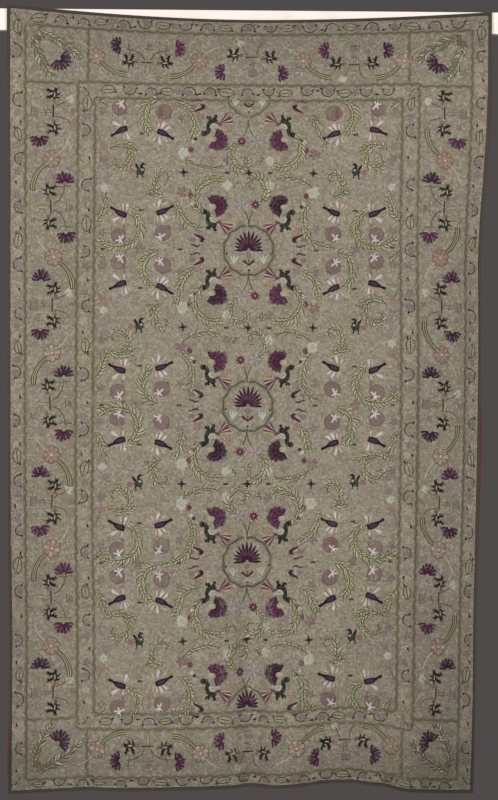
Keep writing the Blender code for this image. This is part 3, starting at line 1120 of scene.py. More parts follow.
SIDE_BIRDS = (
    # x, y, which way the head points down the border
    (54, 99.5, -1), (54.5, 134.5, 1),
    (47.5, 196.5, -1), (48, 229.8, 1),
    (55.5, 295, -1), (55, 328, 1),
    (47.5, 391, -1), (48.5, 427, 1),
    (56.5, 489.8, -1), (55.5, 522, 1),
    (48, 583.8, -1), (48, 615.5, 1),
    (54.5, 677.5, -1), (54.5, 709.4, 1),
)
SIDE_ROSETTES = ((51, 165.4), (53.8, 263.5), (52.5, 359.3), (52.2, 459.8), (52.2, 552), (50.4, 647.7))
SIDE_CARNATIONS = (
    # x, y of the focus, which way it opens
    (38.3, 142, 1), (64.5, 189.5, -1), (66, 238.5, 1), (41, 287.5, -1), (40.5, 335.3, 1), (64.5, 383, -1),
    (64.5, 435, 1), (40.8, 482, -1), (39.8, 529, 1), (64, 577.7, -1), (63, 624.5, 1), (39, 669.8, -1),
)
# The end borders: x from the middle line, y, and for birds and carnations which way they point
TOP_ROSETTES = ((-152.6, 59.1), (-50, 60.5), (54, 60.2), (155, 61.4))
TOP_BIRDS = (
    (-120, 64, -1), (-83, 64.3, 1), (-15.6, 54.6, -1), (21.5, 57.2, 1), (87, 64.2, -1), (123.5, 64.3, 1),
)
TOP_CARNATIONS = (
    (-128, 47, 1), (-74, 47.9, -1), (-24, 72.7, 1), (29, 73.4, -1), (80, 48.3, 1), (134, 49.5, -1),
)
BOTTOM_ROSETTES = ((-150, 751.6), (-46.5, 756.2), (53.6, 753.7), (149, 751))
BOTTOM_BIRDS = (
    (-117, 747, -1), (-81, 749, 1), (-15.4, 757.5, -1), (20.4, 756.7, 1), (83.7, 749.6, -1), (122, 747.3, 1),
)
BOTTOM_CARNATIONS = (
    (-126, 762, 1), (-72, 764, -1), (-23, 744.3, 1), (28, 741.7, -1), (77, 764.5, 1), (129, 761.4, -1),
)


def bar_and_comb(put):
    """Between two birds: a dark bar, a faded comb on a double stem and two stemmed flowers."""
    blade("maroon", ((0, -7.0), (0, 7.0)), 1.6, put)
    line("olive", ((-1.5, -0.9), (-8, -1.2), (-14, -1.2)), 0.8, put)
    line("olive", ((-1.5, 1.4), (-8, 1.6), (-14, 1.2)), 0.8, put)
    strokes("olive", ((-9.5, -3.6, -7.0, 4.0),), 1.0, put)
    comb(spot(-18.5, 0.4, 90, inside=put))
    line("olive", ((2.0, -5.0), (8, -8.0), (12, -9.5), (16, -13)), 1.3, put)
    line("olive", ((2.0, 5.0), (8, 6.0), (14, 8), (17, 13)), 1.3, put)
    aqua_flower(spot(16.5, -12.5, -60, size=0.95, inside=put))
    faint_flower(spot(19, 12, 40, inside=put), "faded_pink", 4.6)
    faint_flower(spot(-15, 14, inside=put), "grey_lilac", 3.2)
    faint_flower(spot(20, -1, inside=put), "grey_lilac", 3.0)


def bar_and_leaf(put):
    """Between two birds: a dark bar, a pale leaf, a lilac flower and the stems of two carnations."""
    blade("maroon", ((0, -7.0), (0, 7.0)), 1.6, put)
    blade("leaf", ((-3, 0.6), (-8, 0.0), (-14, -0.6)), (1.2, 3.0, 1.4), put)
    line("olive", ((-2, -0.6), (-9, -1.8), (-15, -1.0), (-9, 1.8), (-2, 1.8)), 0.6, put)
    for up in (-1, 1):
        stem = ((2.6, up * 3.0), (8, up * 6.0), (12.5, up * 12), (14.2, up * 18), (15, up * 24))
        line("olive", stem, 1.5, put)
        strokes("olive", ((14, up * 19.5, 7.6, up * 20.4), (14.6, up * 20.4, 21.6, up * 21.0)), 1.2, put)
        strokes("moss", ((11.5, up * 11.6, 9.0, up * 14.6), (8, up * 6.4, 12.6, up * 4.6)), 1.0, put)
    disc("grey_lilac", 20, 1.6, 2.2, put, turn=90, stretch=1.7)
    strokes("brown_black", ((15.8, -3.4, 15.8, 6.0),), 0.7, put)
    faint_flower(spot(-18, 12, inside=put), "rose_brown", 3.6)
    faint_flower(spot(-16, -12, inside=put), "lilac", 3.0)


def border_side(side):
    """The left border, or the right one. They differ in their stems and in some of their bars."""
    put = turned_over(side, 1, CELL_START)
    for x, y, way in SIDE_BIRDS:
        border_bird(spot(x, y, draw.uniform(-7, 7), flip_y=way, flip_x=1 if x < 50 else -1, inside=put))
    for k, (a, b) in enumerate(zip(SIDE_BIRDS[::2], SIDE_BIRDS[1::2])):
        here = spot(50.5 if k % 2 else 52.5, (a[1] + b[1]) / 2, draw.uniform(-3, 3), inside=put)
        if side < 0 and k in (3, 5):
            bar_and_comb(spot(0, 0, flip_x=-1, inside=here))
        else:
            (bar_and_leaf if k % 2 else bar_and_comb)(here)
    for k, (x, y) in enumerate(SIDE_ROSETTES):
        flip = 1 if k % 2 else -1
        rosette(spot(x, y, draw.uniform(0, 45), inside=put))
        stem = ((6.0, 5.5), (11.5, 10), (16.0, 17), (18.6, 24), (19.0, 32))
        round_stem(stem, spot(x, y, flip_x=side * flip, flip_y=side, inside=put))
        line("leaf_pale", stem[:4], 1.3, spot(x, y, flip_x=-side * flip, flip_y=-side, size=0.92, inside=put))
        faint_flower(spot(52 + 17 * flip, y - 9, inside=put), "faded_pink", 4.0)
        faint_flower(spot(52 - 17 * flip, y + 9, inside=put), "lilac", 3.8)
        faint_flower(spot(52 - 2 * flip, y + 18, inside=put), "grey_lilac", 3.6)
        faint_flower(spot(52 + 2 * flip, y - 18, inside=put), "faded_pink", 3.6)
    for x, y, way in SIDE_CARNATIONS:
        carnation(spot(x, y, draw.uniform(-5, 5), flip_y=way, inside=put))


def border_end(birds, rosettes, carnations, outer):
    """The top border, or the bottom one. outer is 1 where the border's outer side is up."""
    put = spot(CHART_MIDDLE, 0)
    for x, y, way in birds:
        border_bird(spot(x, y, draw.uniform(-7, 7) - 90 * way, flip_x=way * outer, inside=put))
    for k, (a, b) in enumerate(zip(birds[::2], birds[1::2])):
        here = spot((a[0] + b[0]) / 2, (a[1] + b[1]) / 2, -90, flip_x=outer, size=0.92, inside=put)
        if k == 0:
            bar_and_leaf(here)
        else:
            bar_and_comb(spot(0, 0, flip_x=1 if k == 1 else -1, inside=here))
    for k, (x, y) in enumerate(rosettes):
        rosette(spot(x, y, draw.uniform(0, 45), size=0.98, inside=put))
        flip = -1 if k % 2 else 1
        stem = ((5.5, 6.0), (10, 11), (17, 15.5), (24, 18), (31, 19))
        round_stem(stem, spot(x, y, flip_x=flip, flip_y=outer, size=0.96, inside=put))
        line("leaf_pale", stem[:4], 1.3, spot(x, y, flip_x=-flip, flip_y=-outer, size=0.85, inside=put))
        faint_flower(spot(x - 14 * flip, y + 10 * outer, inside=put), "lilac", 3.8)
        faint_flower(spot(x + 13 * flip, y - 11 * outer, inside=put), "faded_pink", 3.8)
    for x, y, way in carnations:
        carnation(spot(x, y, draw.uniform(-6, 6) + 90 * way, size=0.94, inside=put))


# The corner squares: how far below their drawn numbers the upper ones lie, and the chart number that
# the lower ones are turned over about
CORNER_SHIFT = 6.3
BORDER_MIRROR = 403.4


def corner_square(side, up):
    """What fills a corner of the main border: a carnation, a bud and two leafy sprays."""
    level = CELL_START + CORNER_SHIFT
    if up < 0:
        level = 2 * BORDER_MIRROR - level
    put = turned_over(side, up, level)
    carnation(spot(57.5, 56.5, -45, inside=put), 2.6, 13.4, 95, 10, 0.92, ("plum_dark", "plum"))
    disc("rust", 37, 36.6, 3.2, put, turn=45, stretch=1.3)
    disc("faded_brown", 36.0, 35.4, 2.0, put, turn=45)
    petal("faded_pink", 33.6, 33.0, 225, 5.0, 2.8, put, edge="rust")
    plume(((36, 29), (47, 34), (59, 40), (70, 47), (80, 57)), put, 7.4, 36, "sage_pale")
    plume(((32, 35), (35, 46), (40, 58), (46, 68), (53, 77)), put, 7.4, 36, "sage_pale")
    blade("leaf", ((40, 40), (47, 47), (50, 50)), (1.2, 1.8, 2.2), put)
    faint_flower(spot(70, 33, inside=put), "faded_pink", 4.4)
    faint_flower(spot(34, 68, inside=put), "grey_lilac", 4.4)
    faint_flower(spot(72, 68, inside=put), "lilac", 4.6)


def guard_leaf(put):
    """An oval leaf with ribs and a tooth at its tip."""
    for side in (-1, 1):
        edge = ((-8.0, 1.2), (-4.6, 3.4 * side), (1.0, 4.4 * side), (5.6, 2.6 * side), (8.2, -1.0))
        line("olive_dark", edge, 1.1, put, 4.4)
    for x in (-5.6, -2.6, 0.4, 3.4):
        strokes("leaf", ((x, 0.4, x + 2.8, 3.2), (x, 0.0, x + 2.8, -3.0)), 1.2, put)
    line("green_black", ((-7.0, 0.8), (-1.0, 0.2), (6.4, -0.6)), 0.9, put, 4.4)
    strokes("black", ((-9.4, 3.2, -5.4, 3.8),), 1.9, put)


def guard_vine(put, dye):
    """A bow of vine with two teeth, over a faded flower."""
    line("olive_dark", ((-6.6, 3.4), (-6.0, -0.6), (-3.2, -3.6), (1.4, -4.0), (4.8, -1.8)), 1.5, put, 3.2)
    line("olive_dark", ((4.8, -1.8), (6.2, 1.0), (5.8, 3.2)), 1.0, put, 3.2)
    strokes("black", ((-8.2, 4.6, -5.0, 3.0), (4.6, 2.4, 7.6, 4.2)), 2.0, put)
    line("grey_lilac", ((-2.8, 3.4), (-1.6, -0.6), (1.2, -1.6)), 1.1, put, 3.6)
    faint_flower(spot(0.6, 1.2, inside=put), dye, 4.0, 6)


# The narrow guards


def guard_run(put, length, period, places):
    """Vines, leaves and teeth along a guard, charted along x with its middle line at y 0."""
    count = round(length / period)
    pitch = length / count
    for k in range(count):
        for kind, share in places:
            flip_x, flip_y = (1 if draw.random() < 0.5 else -1 for _ in range(2))
            size = draw.uniform(0.84, 1.08)
            y = draw.uniform(-0.8, 0.8)
            here = spot(pitch * (k + share), y, draw.uniform(-10, 10), flip_x, flip_y, size, put)
            if kind == "leaf":
                guard_leaf(here)
            elif kind == "vine":
                guard_vine(here, ("lilac", "grey_lilac")[k % 2])
            elif kind == "tooth":
                strokes("black", ((-2.0, 3.0, 2.4, 2.4),), 2.1, here)
                faint_flower(spot(0, -2.0, inside=here), "beige", 3.6)
            else:
                dye = ("beige", "grey_lilac", "faded_pink")[(k + int(share * 10)) % 3]
                faint_flower(here, dye, 4.2)


def guards():
    """All the narrow strips between the lines."""
    ends = (
        # the two lines beside it, half length, how much it is narrowed
        (HEM_LINE, LINES_DOWN[0], 218, 1.0),
        (LINES_DOWN[1], LINES_DOWN[2], 148, 1.0),
        (LINES_DOWN[5], HEM_LINE_LOW, 218, 0.74),
        (LINES_DOWN[3], LINES_DOWN[4], 148, 0.9),
    )
    for above, below, half, narrow in ends:
        middle = (above + below) / 2 + CHART_TOP
        guard_run(spot(CHART_MIDDLE - half, middle, flip_y=narrow), 2 * half, 62.0, END_GUARD)
    sides = (
        # the two lines beside it, where it starts and ends
        (LINES_ACROSS[2], HEM_LINE_SIDE, 30, 778),
        (LINES_ACROSS[0], LINES_ACROSS[1], 104, 714),
    )
    for inner, outer, top, bottom in sides:
        for side in (1, -1):
            put = spot(CHART_MIDDLE - side * (inner + outer) / 2, top, 90, flip_y=side)
            guard_run(put, bottom - top, 114.0, SIDE_GUARD)
    for side in (1, -1):
        for aside, level, up in ((236, 20, 1), (236, 784, -1), (166, 91, 1), (166, 727, -1)):
            corner_spray(spot(CHART_MIDDLE - side * aside, level, flip_x=side, flip_y=up, size=0.9))


# What a guard's repeat holds, and how far along it, on the end guards and on the side guards
END_GUARD = (("leaf", 0.12), ("flower", 0.30), ("vine", 0.48), ("tooth", 0.66), ("vine", 0.84))

SIDE_GUARD = (
    ("leaf", 0.03), ("flower", 0.14), ("vine", 0.26), ("flower", 0.38), ("tooth", 0.49), ("flower", 0.60),
    ("vine", 0.71), ("flower", 0.83), ("tooth", 0.92),
)

# Scallops of the border lines, in squares
SCALLOP_LONG = 11.0
SCALLOP_HIGH = 2.1

# How far from the middle line the corner squares' inner lines run
SQUARE_LINE = 160.5


def wavy(length):
    """Places along a scalloped line: how far along, how far aside."""
    steps = np.arange(0, length + 1.5, 1.5)
    drift = np.cumsum(draw.uniform(-0.07, 0.07, len(steps)))
    return steps, SCALLOP_HIGH * (np.abs(np.sin(math.pi * steps / SCALLOP_LONG + drift)) - 0.5) + drift * 0.4


def straight_line(x0, y0, x1, y1):
    """A scalloped border line with paler edges, in the chart's numbers."""
    length = math.hypot(x1 - x0, y1 - y0)
    way = np.array((x1 - x0, y1 - y0)) / length
    aside = beside(way)
    along, off = wavy(length)
    points = np.array((x0, y0)) + way * along[:, None].clip(0, length) + aside * off[:, None]
    blade("line", points, 2.3, same, 3.8, 1.15)
    line("line_pale", points + aside * 1.7, 0.8, same, 4.4)
    line("line_pale", points - aside * 1.6, 0.6, same, 4.4)


def border_lines():
    """Every line that parts field, guards, border and corner squares, and the hem's stitching."""
    left, right = CHART_MIDDLE - HEM_LINE_SIDE, CHART_MIDDLE + HEM_LINE_SIDE
    top, bottom = CHART_TOP + HEM_LINE, CHART_TOP + HEM_LINE_LOW
    l1, l2, l3, l4, l5, l6 = (CHART_TOP + down for down in LINES_DOWN)
    inner, outer, main = LINES_ACROSS
    for down, half in ((l1, main), (l6, main), (l2, outer), (l5, outer), (l3, inner), (l4, inner)):
        straight_line(CHART_MIDDLE - half, down, CHART_MIDDLE + half, down)
    for side in (-1, 1):
        for across, first, last in ((main, l1, l6), (outer, l2, l5), (inner, l3, l4)):
            straight_line(CHART_MIDDLE + side * across, first, CHART_MIDDLE + side * across, last)
        x = CHART_MIDDLE + side * SQUARE_LINE
        straight_line(x, l1, x, l2)
        straight_line(x, l5, x, l6)
        for down in (l2 + 2.4, l5 - 11.0):
            straight_line(CHART_MIDDLE + side * outer, down, CHART_MIDDLE + side * main, down)
    corners = ((left, top), (right, top), (left, bottom), (right, bottom))
    for first, last in ((0, 1), (2, 3), (0, 2), (1, 3)):
        line("hem_thread", (corners[first], corners[last]), 1.1, same, 3.4)


SCATTER_STEP = 12.2
SCATTER_DYES = (
    "sage_pale", "faded_pink", "beige", "beige", "sage_pale", "faded_pink", "beige", "line_pale", "line_pale",
)


def scatter_faint():
    """Faded leaves and petals all over the ground, short of the hems."""
    for x in np.arange(19, 481, SCATTER_STEP):
        for y in np.arange(25, 781, SCATTER_STEP):
            dye = SCATTER_DYES[int(draw.integers(0, len(SCATTER_DYES)))]
            here = spot(x + draw.uniform(-6, 6), y + draw.uniform(-6, 6), draw.uniform(0, 360))
            blade(dye, ((-2.0, 0.3), (2.0, -0.2)), draw.uniform(1.6, 3.0), here, 5.0, 3.6, rise=RISE * 0.4)


# A stitch: an end point, three across each shoulder and the other end point
STITCH_STOPS = ((0, 0), (0, 1), (0, 1), (0, 1), (1, -1), (1, -1), (1, -1), (1, 0))
STITCH_SIDES = np.array((0.0, 1.0, 0.0, -1.0, 1.0, 0.0, -1.0, 0.0))
STITCH_CREST = np.array((0, 0, 1, 0, 0, 1, 0, 0), dtype=bool)
STITCH_UNDER = ((0, 3, 1), (1, 3, 6), (1, 6, 4), (4, 6, 7))
STITCH_OVER = ((0, 1, 2), (0, 2, 3), (1, 4, 5), (1, 5, 2), (2, 5, 6), (2, 6, 3), (4, 7, 5), (5, 7, 6))


def thread_mesh(name, rows):
    """One mesh of all the stitches in a thread, each a small closed ridge on the cloth."""
    start = rows[:, 0:2]
    way = rows[:, 2:4] - start
    length = np.linalg.norm(way, axis=1, keepdims=True)
    way = way / np.maximum(length, 1e-6)
    aside = beside(way) * rows[:, 4:5] / 2
    shoulder = np.minimum(0.22, 0.30 / np.maximum(length, 0.6))
    # The eight points of a stitch: how far along it, how far aside and whether on its crest
    along = np.concatenate([shoulder * bend + stop for stop, bend in STITCH_STOPS], axis=1) * length
    flat = start[:, None] + way[:, None] * along[..., None] + aside[:, None] * STITCH_SIDES[:, None]
    lift = np.where(STITCH_CREST, rows[:, 5:6], -SUNK)
    across = (flat[..., 0].reshape(-1) - CHART_MIDDLE) * SQUARE
    down = (flat[..., 1].reshape(-1) - CHART_TOP) * SQUARE
    points = on_cloth(across, down, lift.reshape(-1))
    base = np.arange(len(rows))[:, None, None] * 8
    faces = np.concatenate([(np.array(side) + base).reshape(-1, 3) for side in (STITCH_UNDER, STITCH_OVER)])
    item = mesh_object(name, points, faces, 3)
    u, v = bake_places(across, down)
    flat_map(item.data, "OFBake", u[faces], v[faces])
    colour = np.ones((len(points), 4))
    colour[:, :3] = np.repeat(rows[:, 6:9], 8, axis=0)
    dye = item.data.attributes.new("dye", "FLOAT_COLOR", "POINT")
    dye.data.foreach_set("color", colour.reshape(-1).astype(np.float32))
    # For the silk's shader: metres along the stitch, side of it, and a shift of its own
    side = np.tile(STITCH_SIDES, len(rows))
    shift = np.repeat(draw.uniform(0, 1, len(rows)), 8)
    strand = np.stack(((along * SQUARE).reshape(-1), side, shift), axis=-1)
    attribute = item.data.attributes.new("strand", "FLOAT_VECTOR", "POINT")
    attribute.data.foreach_set("vector", strand.reshape(-1).astype(np.float32))
    return item


# Colours of the grounds, the hem, the worn silk, the lining and the bar
FIELD_GROUND = (0.352, 0.312, 0.226)
BORDER_GROUND = (0.302, 0.264, 0.192)
HEM_COTTON = (0.074, 0.063, 0.045)
SLUB_COTTON = (0.115, 0.100, 0.070)
WORN_SILK = (0.36, 0.32, 0.24)
LINING_REDS = ((0.120, 0.010, 0.018), (0.170, 0.018, 0.026), (0.060, 0.006, 0.010))
BAR_WHITES = ((0.905, 0.828, 0.752), (0.850, 0.772, 0.688), (0.880, 0.804, 0.728))
FLOOR_GREYS = ((0.60, 0.60, 0.59), (0.66, 0.66, 0.65))

# Mottling of the ground
MOTTLE = (
    # other place or not, scale, low and high of the noise, share, tone
    (0, 4.0, 0.42, 0.62, 0.28, (0.330, 0.265, 0.205)),
    (1, 5.5, 0.48, 0.66, 0.32, (0.290, 0.275, 0.165)),
    (0, 21.0, 0.46, 0.62, 0.30, (0.440, 0.395, 0.300)),
    (0, 46.0, 0.50, 0.64, 0.42, (0.240, 0.222, 0.130)),
    (1, 74.0, 0.52, 0.66, 0.62, (0.480, 0.430, 0.340)),
    (1, 92.0, 0.52, 0.64, 0.52, (0.250, 0.188, 0.155)),
    (0, 118.0, 0.54, 0.66, 0.78, (0.500, 0.455, 0.370)),
    (1, 150.0, 0.54, 0.66, 0.62, (0.170, 0.148, 0.105)),
)

# How far the silk's strands are turned from one side of a stitch to the other
STRANDS_ACROSS = 9.0


# Materials


def new_group(name, inputs, outputs):
    """An empty shader node group with named sockets."""
    group = bpy.data.node_groups.new(name, "ShaderNodeTree")
    for socket, kind, value in inputs:
        made = group.interface.new_socket(socket, in_out="INPUT", socket_type=kind)
        made.default_value = value
    for socket, kind in outputs:
        group.interface.new_socket(socket, in_out="OUTPUT", socket_type=kind)
    return group


def add(tree, kind, **values):
    """A node with its properties."""
    node = tree.nodes.new(kind)
    for name, value in values.items():
        setattr(node, name, value)
    return node


def placed(tree, group, **values):
    """A shader node group placed in a tree, with a socket or a value for each named input."""
    node = add(tree, "ShaderNodeGroup", node_tree=group)
    for name, value in values.items():
        if isinstance(value, bpy.types.NodeSocket):
            tree.links.new(value, node.inputs[name])
        else:
            node.inputs[name].default_value = value
    return node.outputs


def group_ends(group):
    """The input and the output node of a group."""
    return add(group, "NodeGroupInput").outputs, add(group, "NodeGroupOutput").inputs


def parts_of(tree, vector):
    """The three parts of a vector."""
    node = add(tree, "ShaderNodeSeparateXYZ")
    tree.links.new(vector, node.inputs[0])
    return node.outputs


def object_place(tree):
    """Object coordinates."""
    return add(tree, "ShaderNodeTexCoord").outputs["Object"]


def reckon(tree, operation, first, second=None, third=None):
    """A Math node on sockets or numbers, and its result."""
    node = add(tree, "ShaderNodeMath", operation=operation)
    for slot, value in enumerate((first, second, third)):
        if isinstance(value, bpy.types.NodeSocket):
            tree.links.new(value, node.inputs[slot])
        elif value is not None:
            node.inputs[slot].default_value = value
    return node.outputs[0]


def blend_colour(tree, share, first, second, mode="MIX"):
    """A colour mix of sockets or colours."""
    node = add(tree, "ShaderNodeMix", data_type="RGBA", blend_type=mode)
    for slot, value in ((0, share), (6, first), (7, second)):
        if isinstance(value, bpy.types.NodeSocket):
            tree.links.new(value, node.inputs[slot])
        else:
            node.inputs[slot].default_value = value if slot == 0 else (*value, 1.0)
    return node.outputs[2]


def darkened(tree, colour, tone):
    """A colour times a tone."""
    grey = add(tree, "ShaderNodeCombineColor")
    for slot in range(3):
        tree.links.new(tone, grey.inputs[slot])
    return blend_colour(tree, 1.0, colour, grey.outputs[0], "MULTIPLY")


def noise(tree, place, scale, detail=2.0):
    """A noise value at a place."""
    node = add(tree, "ShaderNodeTexNoise")
    node.inputs["Scale"].default_value = scale
    node.inputs["Detail"].default_value = detail
    tree.links.new(place, node.inputs["Vector"])
    return node.outputs["Fac"]


def band(tree, value, low, high):
    """0 under low, 1 over high, smooth between."""
    node = add(tree, "ShaderNodeMapRange", interpolation_type="SMOOTHSTEP")
    node.inputs["From Min"].default_value = low
    node.inputs["From Max"].default_value = high
    tree.links.new(value, node.inputs["Value"])
    return node.outputs["Result"]


def fading(tree, value, low, high):
    """1 under low, 0 over high, smooth between."""
    return reckon(tree, "SUBTRACT", 1.0, band(tree, value, low, high))


def silk_group():
    """Dyed silk: the colour of each stitch, painted shade in the grooves between its fine strands, and its
    worn top.
    """
    group = new_group(
        "dyed silk",
        (("Wear", "NodeSocketFloat", 0.2), ("Rough", "NodeSocketFloat", 0.5)),
        (("Colour", "NodeSocketColor"), ("Roughness", "NodeSocketFloat"), ("Height", "NodeSocketFloat")),
    )
    given, result = group_ends(group)
    dye = add(group, "ShaderNodeAttribute", attribute_name="dye").outputs["Color"]
    strand = add(group, "ShaderNodeAttribute", attribute_name="strand").outputs["Vector"]
    run, side, shift = parts_of(group, strand)
    twist = reckon(group, "MULTIPLY_ADD", run, 620.0, reckon(group, "MULTIPLY", shift, 6.3))
    twist = reckon(group, "MULTIPLY_ADD", side, STRANDS_ACROSS, twist)
    ridge = reckon(group, "MULTIPLY_ADD", reckon(group, "SINE", twist), 0.5, 0.5)
    place = object_place(group)
    fuzz = noise(group, place, 900.0)
    faded = noise(group, place, 26.0, 3.0)
    # Painted shade: the grooves between the twisted strands are darker; fuzz and faded patches add random
    # tone
    tone = reckon(group, "MULTIPLY_ADD", ridge, 0.22, 0.62)
    tone = reckon(group, "MULTIPLY_ADD", fuzz, 0.22, tone)
    tone = reckon(group, "MULTIPLY_ADD", faded, 0.22, tone)
    worn = reckon(group, "MULTIPLY", band(group, faded, 0.52, 0.74), given["Wear"])
    colour = blend_colour(group, worn, dye, WORN_SILK)
    group.links.new(darkened(group, colour, tone), result["Colour"])
    group.links.new(reckon(group, "MULTIPLY_ADD", fuzz, 0.25, given["Rough"]), result["Roughness"])
    group.links.new(reckon(group, "MULTIPLY_ADD", fuzz, 0.3, ridge), result["Height"])
    return group


def painted_shade_group():
    """Painted shade on the cloth: a colour darkened towards its hems and most in the lower right corner."""
    group = new_group(
        "painted edge shade",
        (("Colour", "NodeSocketColor", (1, 1, 1, 1)),),
        (("Colour", "NodeSocketColor"),),
    )
    given, result = group_ends(group)
    place = object_place(group)
    across, _, up = parts_of(group, place)
    # Painted shade: darker along the bottom hem, towards the lower right, down the left side and along the
    # top, unevenly
    low = fading(group, up, -2.23, -2.11)
    right = reckon(group, "MULTIPLY", band(group, across, 0.10, 0.72), fading(group, up, -2.15, -1.45))
    left = reckon(group, "MULTIPLY", fading(group, across, -0.73, -0.45), fading(group, up, -1.90, -0.90))
    painted_shade = reckon(group, "MULTIPLY", low, 0.20)
    painted_shade = reckon(group, "MULTIPLY_ADD", right, 0.24, painted_shade)
    painted_shade = reckon(group, "MULTIPLY_ADD", left, 0.16, painted_shade)
    painted_shade = reckon(group, "MULTIPLY_ADD", band(group, up, -0.20, 0.02), 0.18, painted_shade)
    uneven = reckon(group, "MULTIPLY_ADD", noise(group, place, 9.0, 3.0), 0.7, 0.65)
    keep = reckon(group, "SUBTRACT", 1.0, reckon(group, "MULTIPLY", painted_shade, uneven))
    group.links.new(darkened(group, given["Colour"], keep), result["Colour"])
    return group


def finish(shader, specular, sheen, sheen_rough=0.5):
    """A cloth's plain shine."""
    shader.inputs["Specular IOR Level"].default_value = specular
    shader.inputs["Sheen Weight"].default_value = sheen
    shader.inputs["Sheen Roughness"].default_value = sheen_rough


def material(name):
    """A new material, its tree and its shader."""
    made = bpy.data.materials.new(name)
    made.use_nodes = True
    return made, made.node_tree, made.node_tree.nodes["Principled BSDF"]


def raise_bump(tree, shader, height, strength, distance):
    """Feed a height to the shader's normal."""
    bump = tree.nodes.new("ShaderNodeBump")
    bump.inputs["Strength"].default_value = strength
    bump.inputs["Distance"].default_value = distance
    tree.links.new(height, bump.inputs["Height"])
    tree.links.new(bump.outputs["Normal"], shader.inputs["Normal"])


def silk(name, group, painted_shade, wear, rough, sheen):
    """A silk thread."""
    made, tree, shader = material(name)
    thread = placed(tree, group, Wear=wear, Rough=rough)
    # The silk's colour, with painted shade towards the hems and the lower right corner
    tree.links.new(placed(tree, painted_shade, Colour=thread["Colour"])["Colour"], shader.inputs["Base Color"])
    tree.links.new(thread["Roughness"], shader.inputs["Roughness"])
    raise_bump(tree, shader, thread["Height"], 0.5, 0.0004)
    finish(shader, 0.25, sheen, 0.4)
    return made


def weave_group():
    """Plain weave: the height of crossing threads on flat places in metres, and their slubs."""
    group = new_group(
        "plain weave",
        (("Place", "NodeSocketVector", (0, 0, 0)), ("Threads", "NodeSocketFloat", 1400.0)),
        (("Height", "NodeSocketFloat"), ("Slub", "NodeSocketFloat")),
    )
    given, result = group_ends(group)
    across, down, _ = parts_of(group, given["Place"])
    warp = reckon(group, "SINE", reckon(group, "MULTIPLY", across, given["Threads"]))
    weft = reckon(group, "SINE", reckon(group, "MULTIPLY", down, given["Threads"]))
    slub = noise(group, given["Place"], 240.0, 3.0)
    crossing = reckon(group, "MULTIPLY", warp, weft)
    group.links.new(reckon(group, "MULTIPLY_ADD", slub, 0.8, crossing), result["Height"])
    group.links.new(slub, result["Slub"])
    return group


def cotton_ground(weave, painted_shade):
    """The face cloth: cotton covered in faded silk, mottled in many small tones, with a plain hem."""
    made, tree, shader = material("embroidered_cotton")
    place = add(tree, "ShaderNodeUVMap", uv_map="flat").outputs["UV"]
    shifted = add(tree, "ShaderNodeMapping")
    shifted.inputs["Location"].default_value = (3.1, 1.7, 0.4)
    tree.links.new(place, shifted.inputs["Vector"])
    across, down, _ = parts_of(tree, place)
    side = reckon(tree, "SUBTRACT", CLOTH_WIDTH / 2, reckon(tree, "ABSOLUTE", across))
    end = reckon(tree, "MINIMUM", down, reckon(tree, "SUBTRACT", CLOTH_LENGTH, down))
    away = reckon(tree, "MINIMUM", side, end)
    colour = blend_colour(tree, band(tree, away, 0.18, 0.42), BORDER_GROUND, FIELD_GROUND)
    for where, scale, low, high, share, tone in MOTTLE:
        patch = band(tree, noise(tree, shifted.outputs["Vector"] if where else place, scale), low, high)
        colour = blend_colour(tree, reckon(tree, "MULTIPLY", patch, share), colour, tone)
    colour = blend_colour(tree, band(tree, away, HEM - 0.001, HEM + 0.0005), HEM_COTTON, colour)
    cloth = placed(tree, weave, Place=place, Threads=2800.0)
    slub = band(tree, cloth["Slub"], 0.40, 0.75)
    colour = blend_colour(tree, reckon(tree, "MULTIPLY", slub, 0.35), colour, SLUB_COTTON)
    # The ground's colour, with painted shade towards the hems and the lower right corner
    tree.links.new(placed(tree, painted_shade, Colour=colour)["Colour"], shader.inputs["Base Color"])
    tree.links.new(reckon(tree, "MULTIPLY_ADD", cloth["Slub"], 0.2, 0.72), shader.inputs["Roughness"])
    height = reckon(tree, "MULTIPLY_ADD", noise(tree, place, 120.0, 3.0), 3.0, cloth["Height"])
    raise_bump(tree, shader, height, 0.8, 0.0008)
    finish(shader, 0.15, 0.1)
    return made


def red_cotton(weave):
    """The lining: dark red plain-woven cotton, faded in patches."""
    made, tree, shader = material("red_lining_cotton")
    place = add(tree, "ShaderNodeUVMap", uv_map="flat").outputs["UV"]
    cloth = placed(tree, weave, Place=place, Threads=4200.0)
    deep, faded, slubbed = LINING_REDS
    colour = blend_colour(tree, band(tree, noise(tree, place, 9.0, 4.0), 0.40, 0.70), deep, faded)
    colour = blend_colour(tree, reckon(tree, "MULTIPLY", cloth["Slub"], 0.55), colour, slubbed)
    tree.links.new(colour, shader.inputs["Base Color"])
    tree.links.new(reckon(tree, "MULTIPLY_ADD", cloth["Slub"], 0.2, 0.70), shader.inputs["Roughness"])
    raise_bump(tree, shader, cloth["Height"], 0.5, 0.0004)
    finish(shader, 0.2, 0.2)
    return made


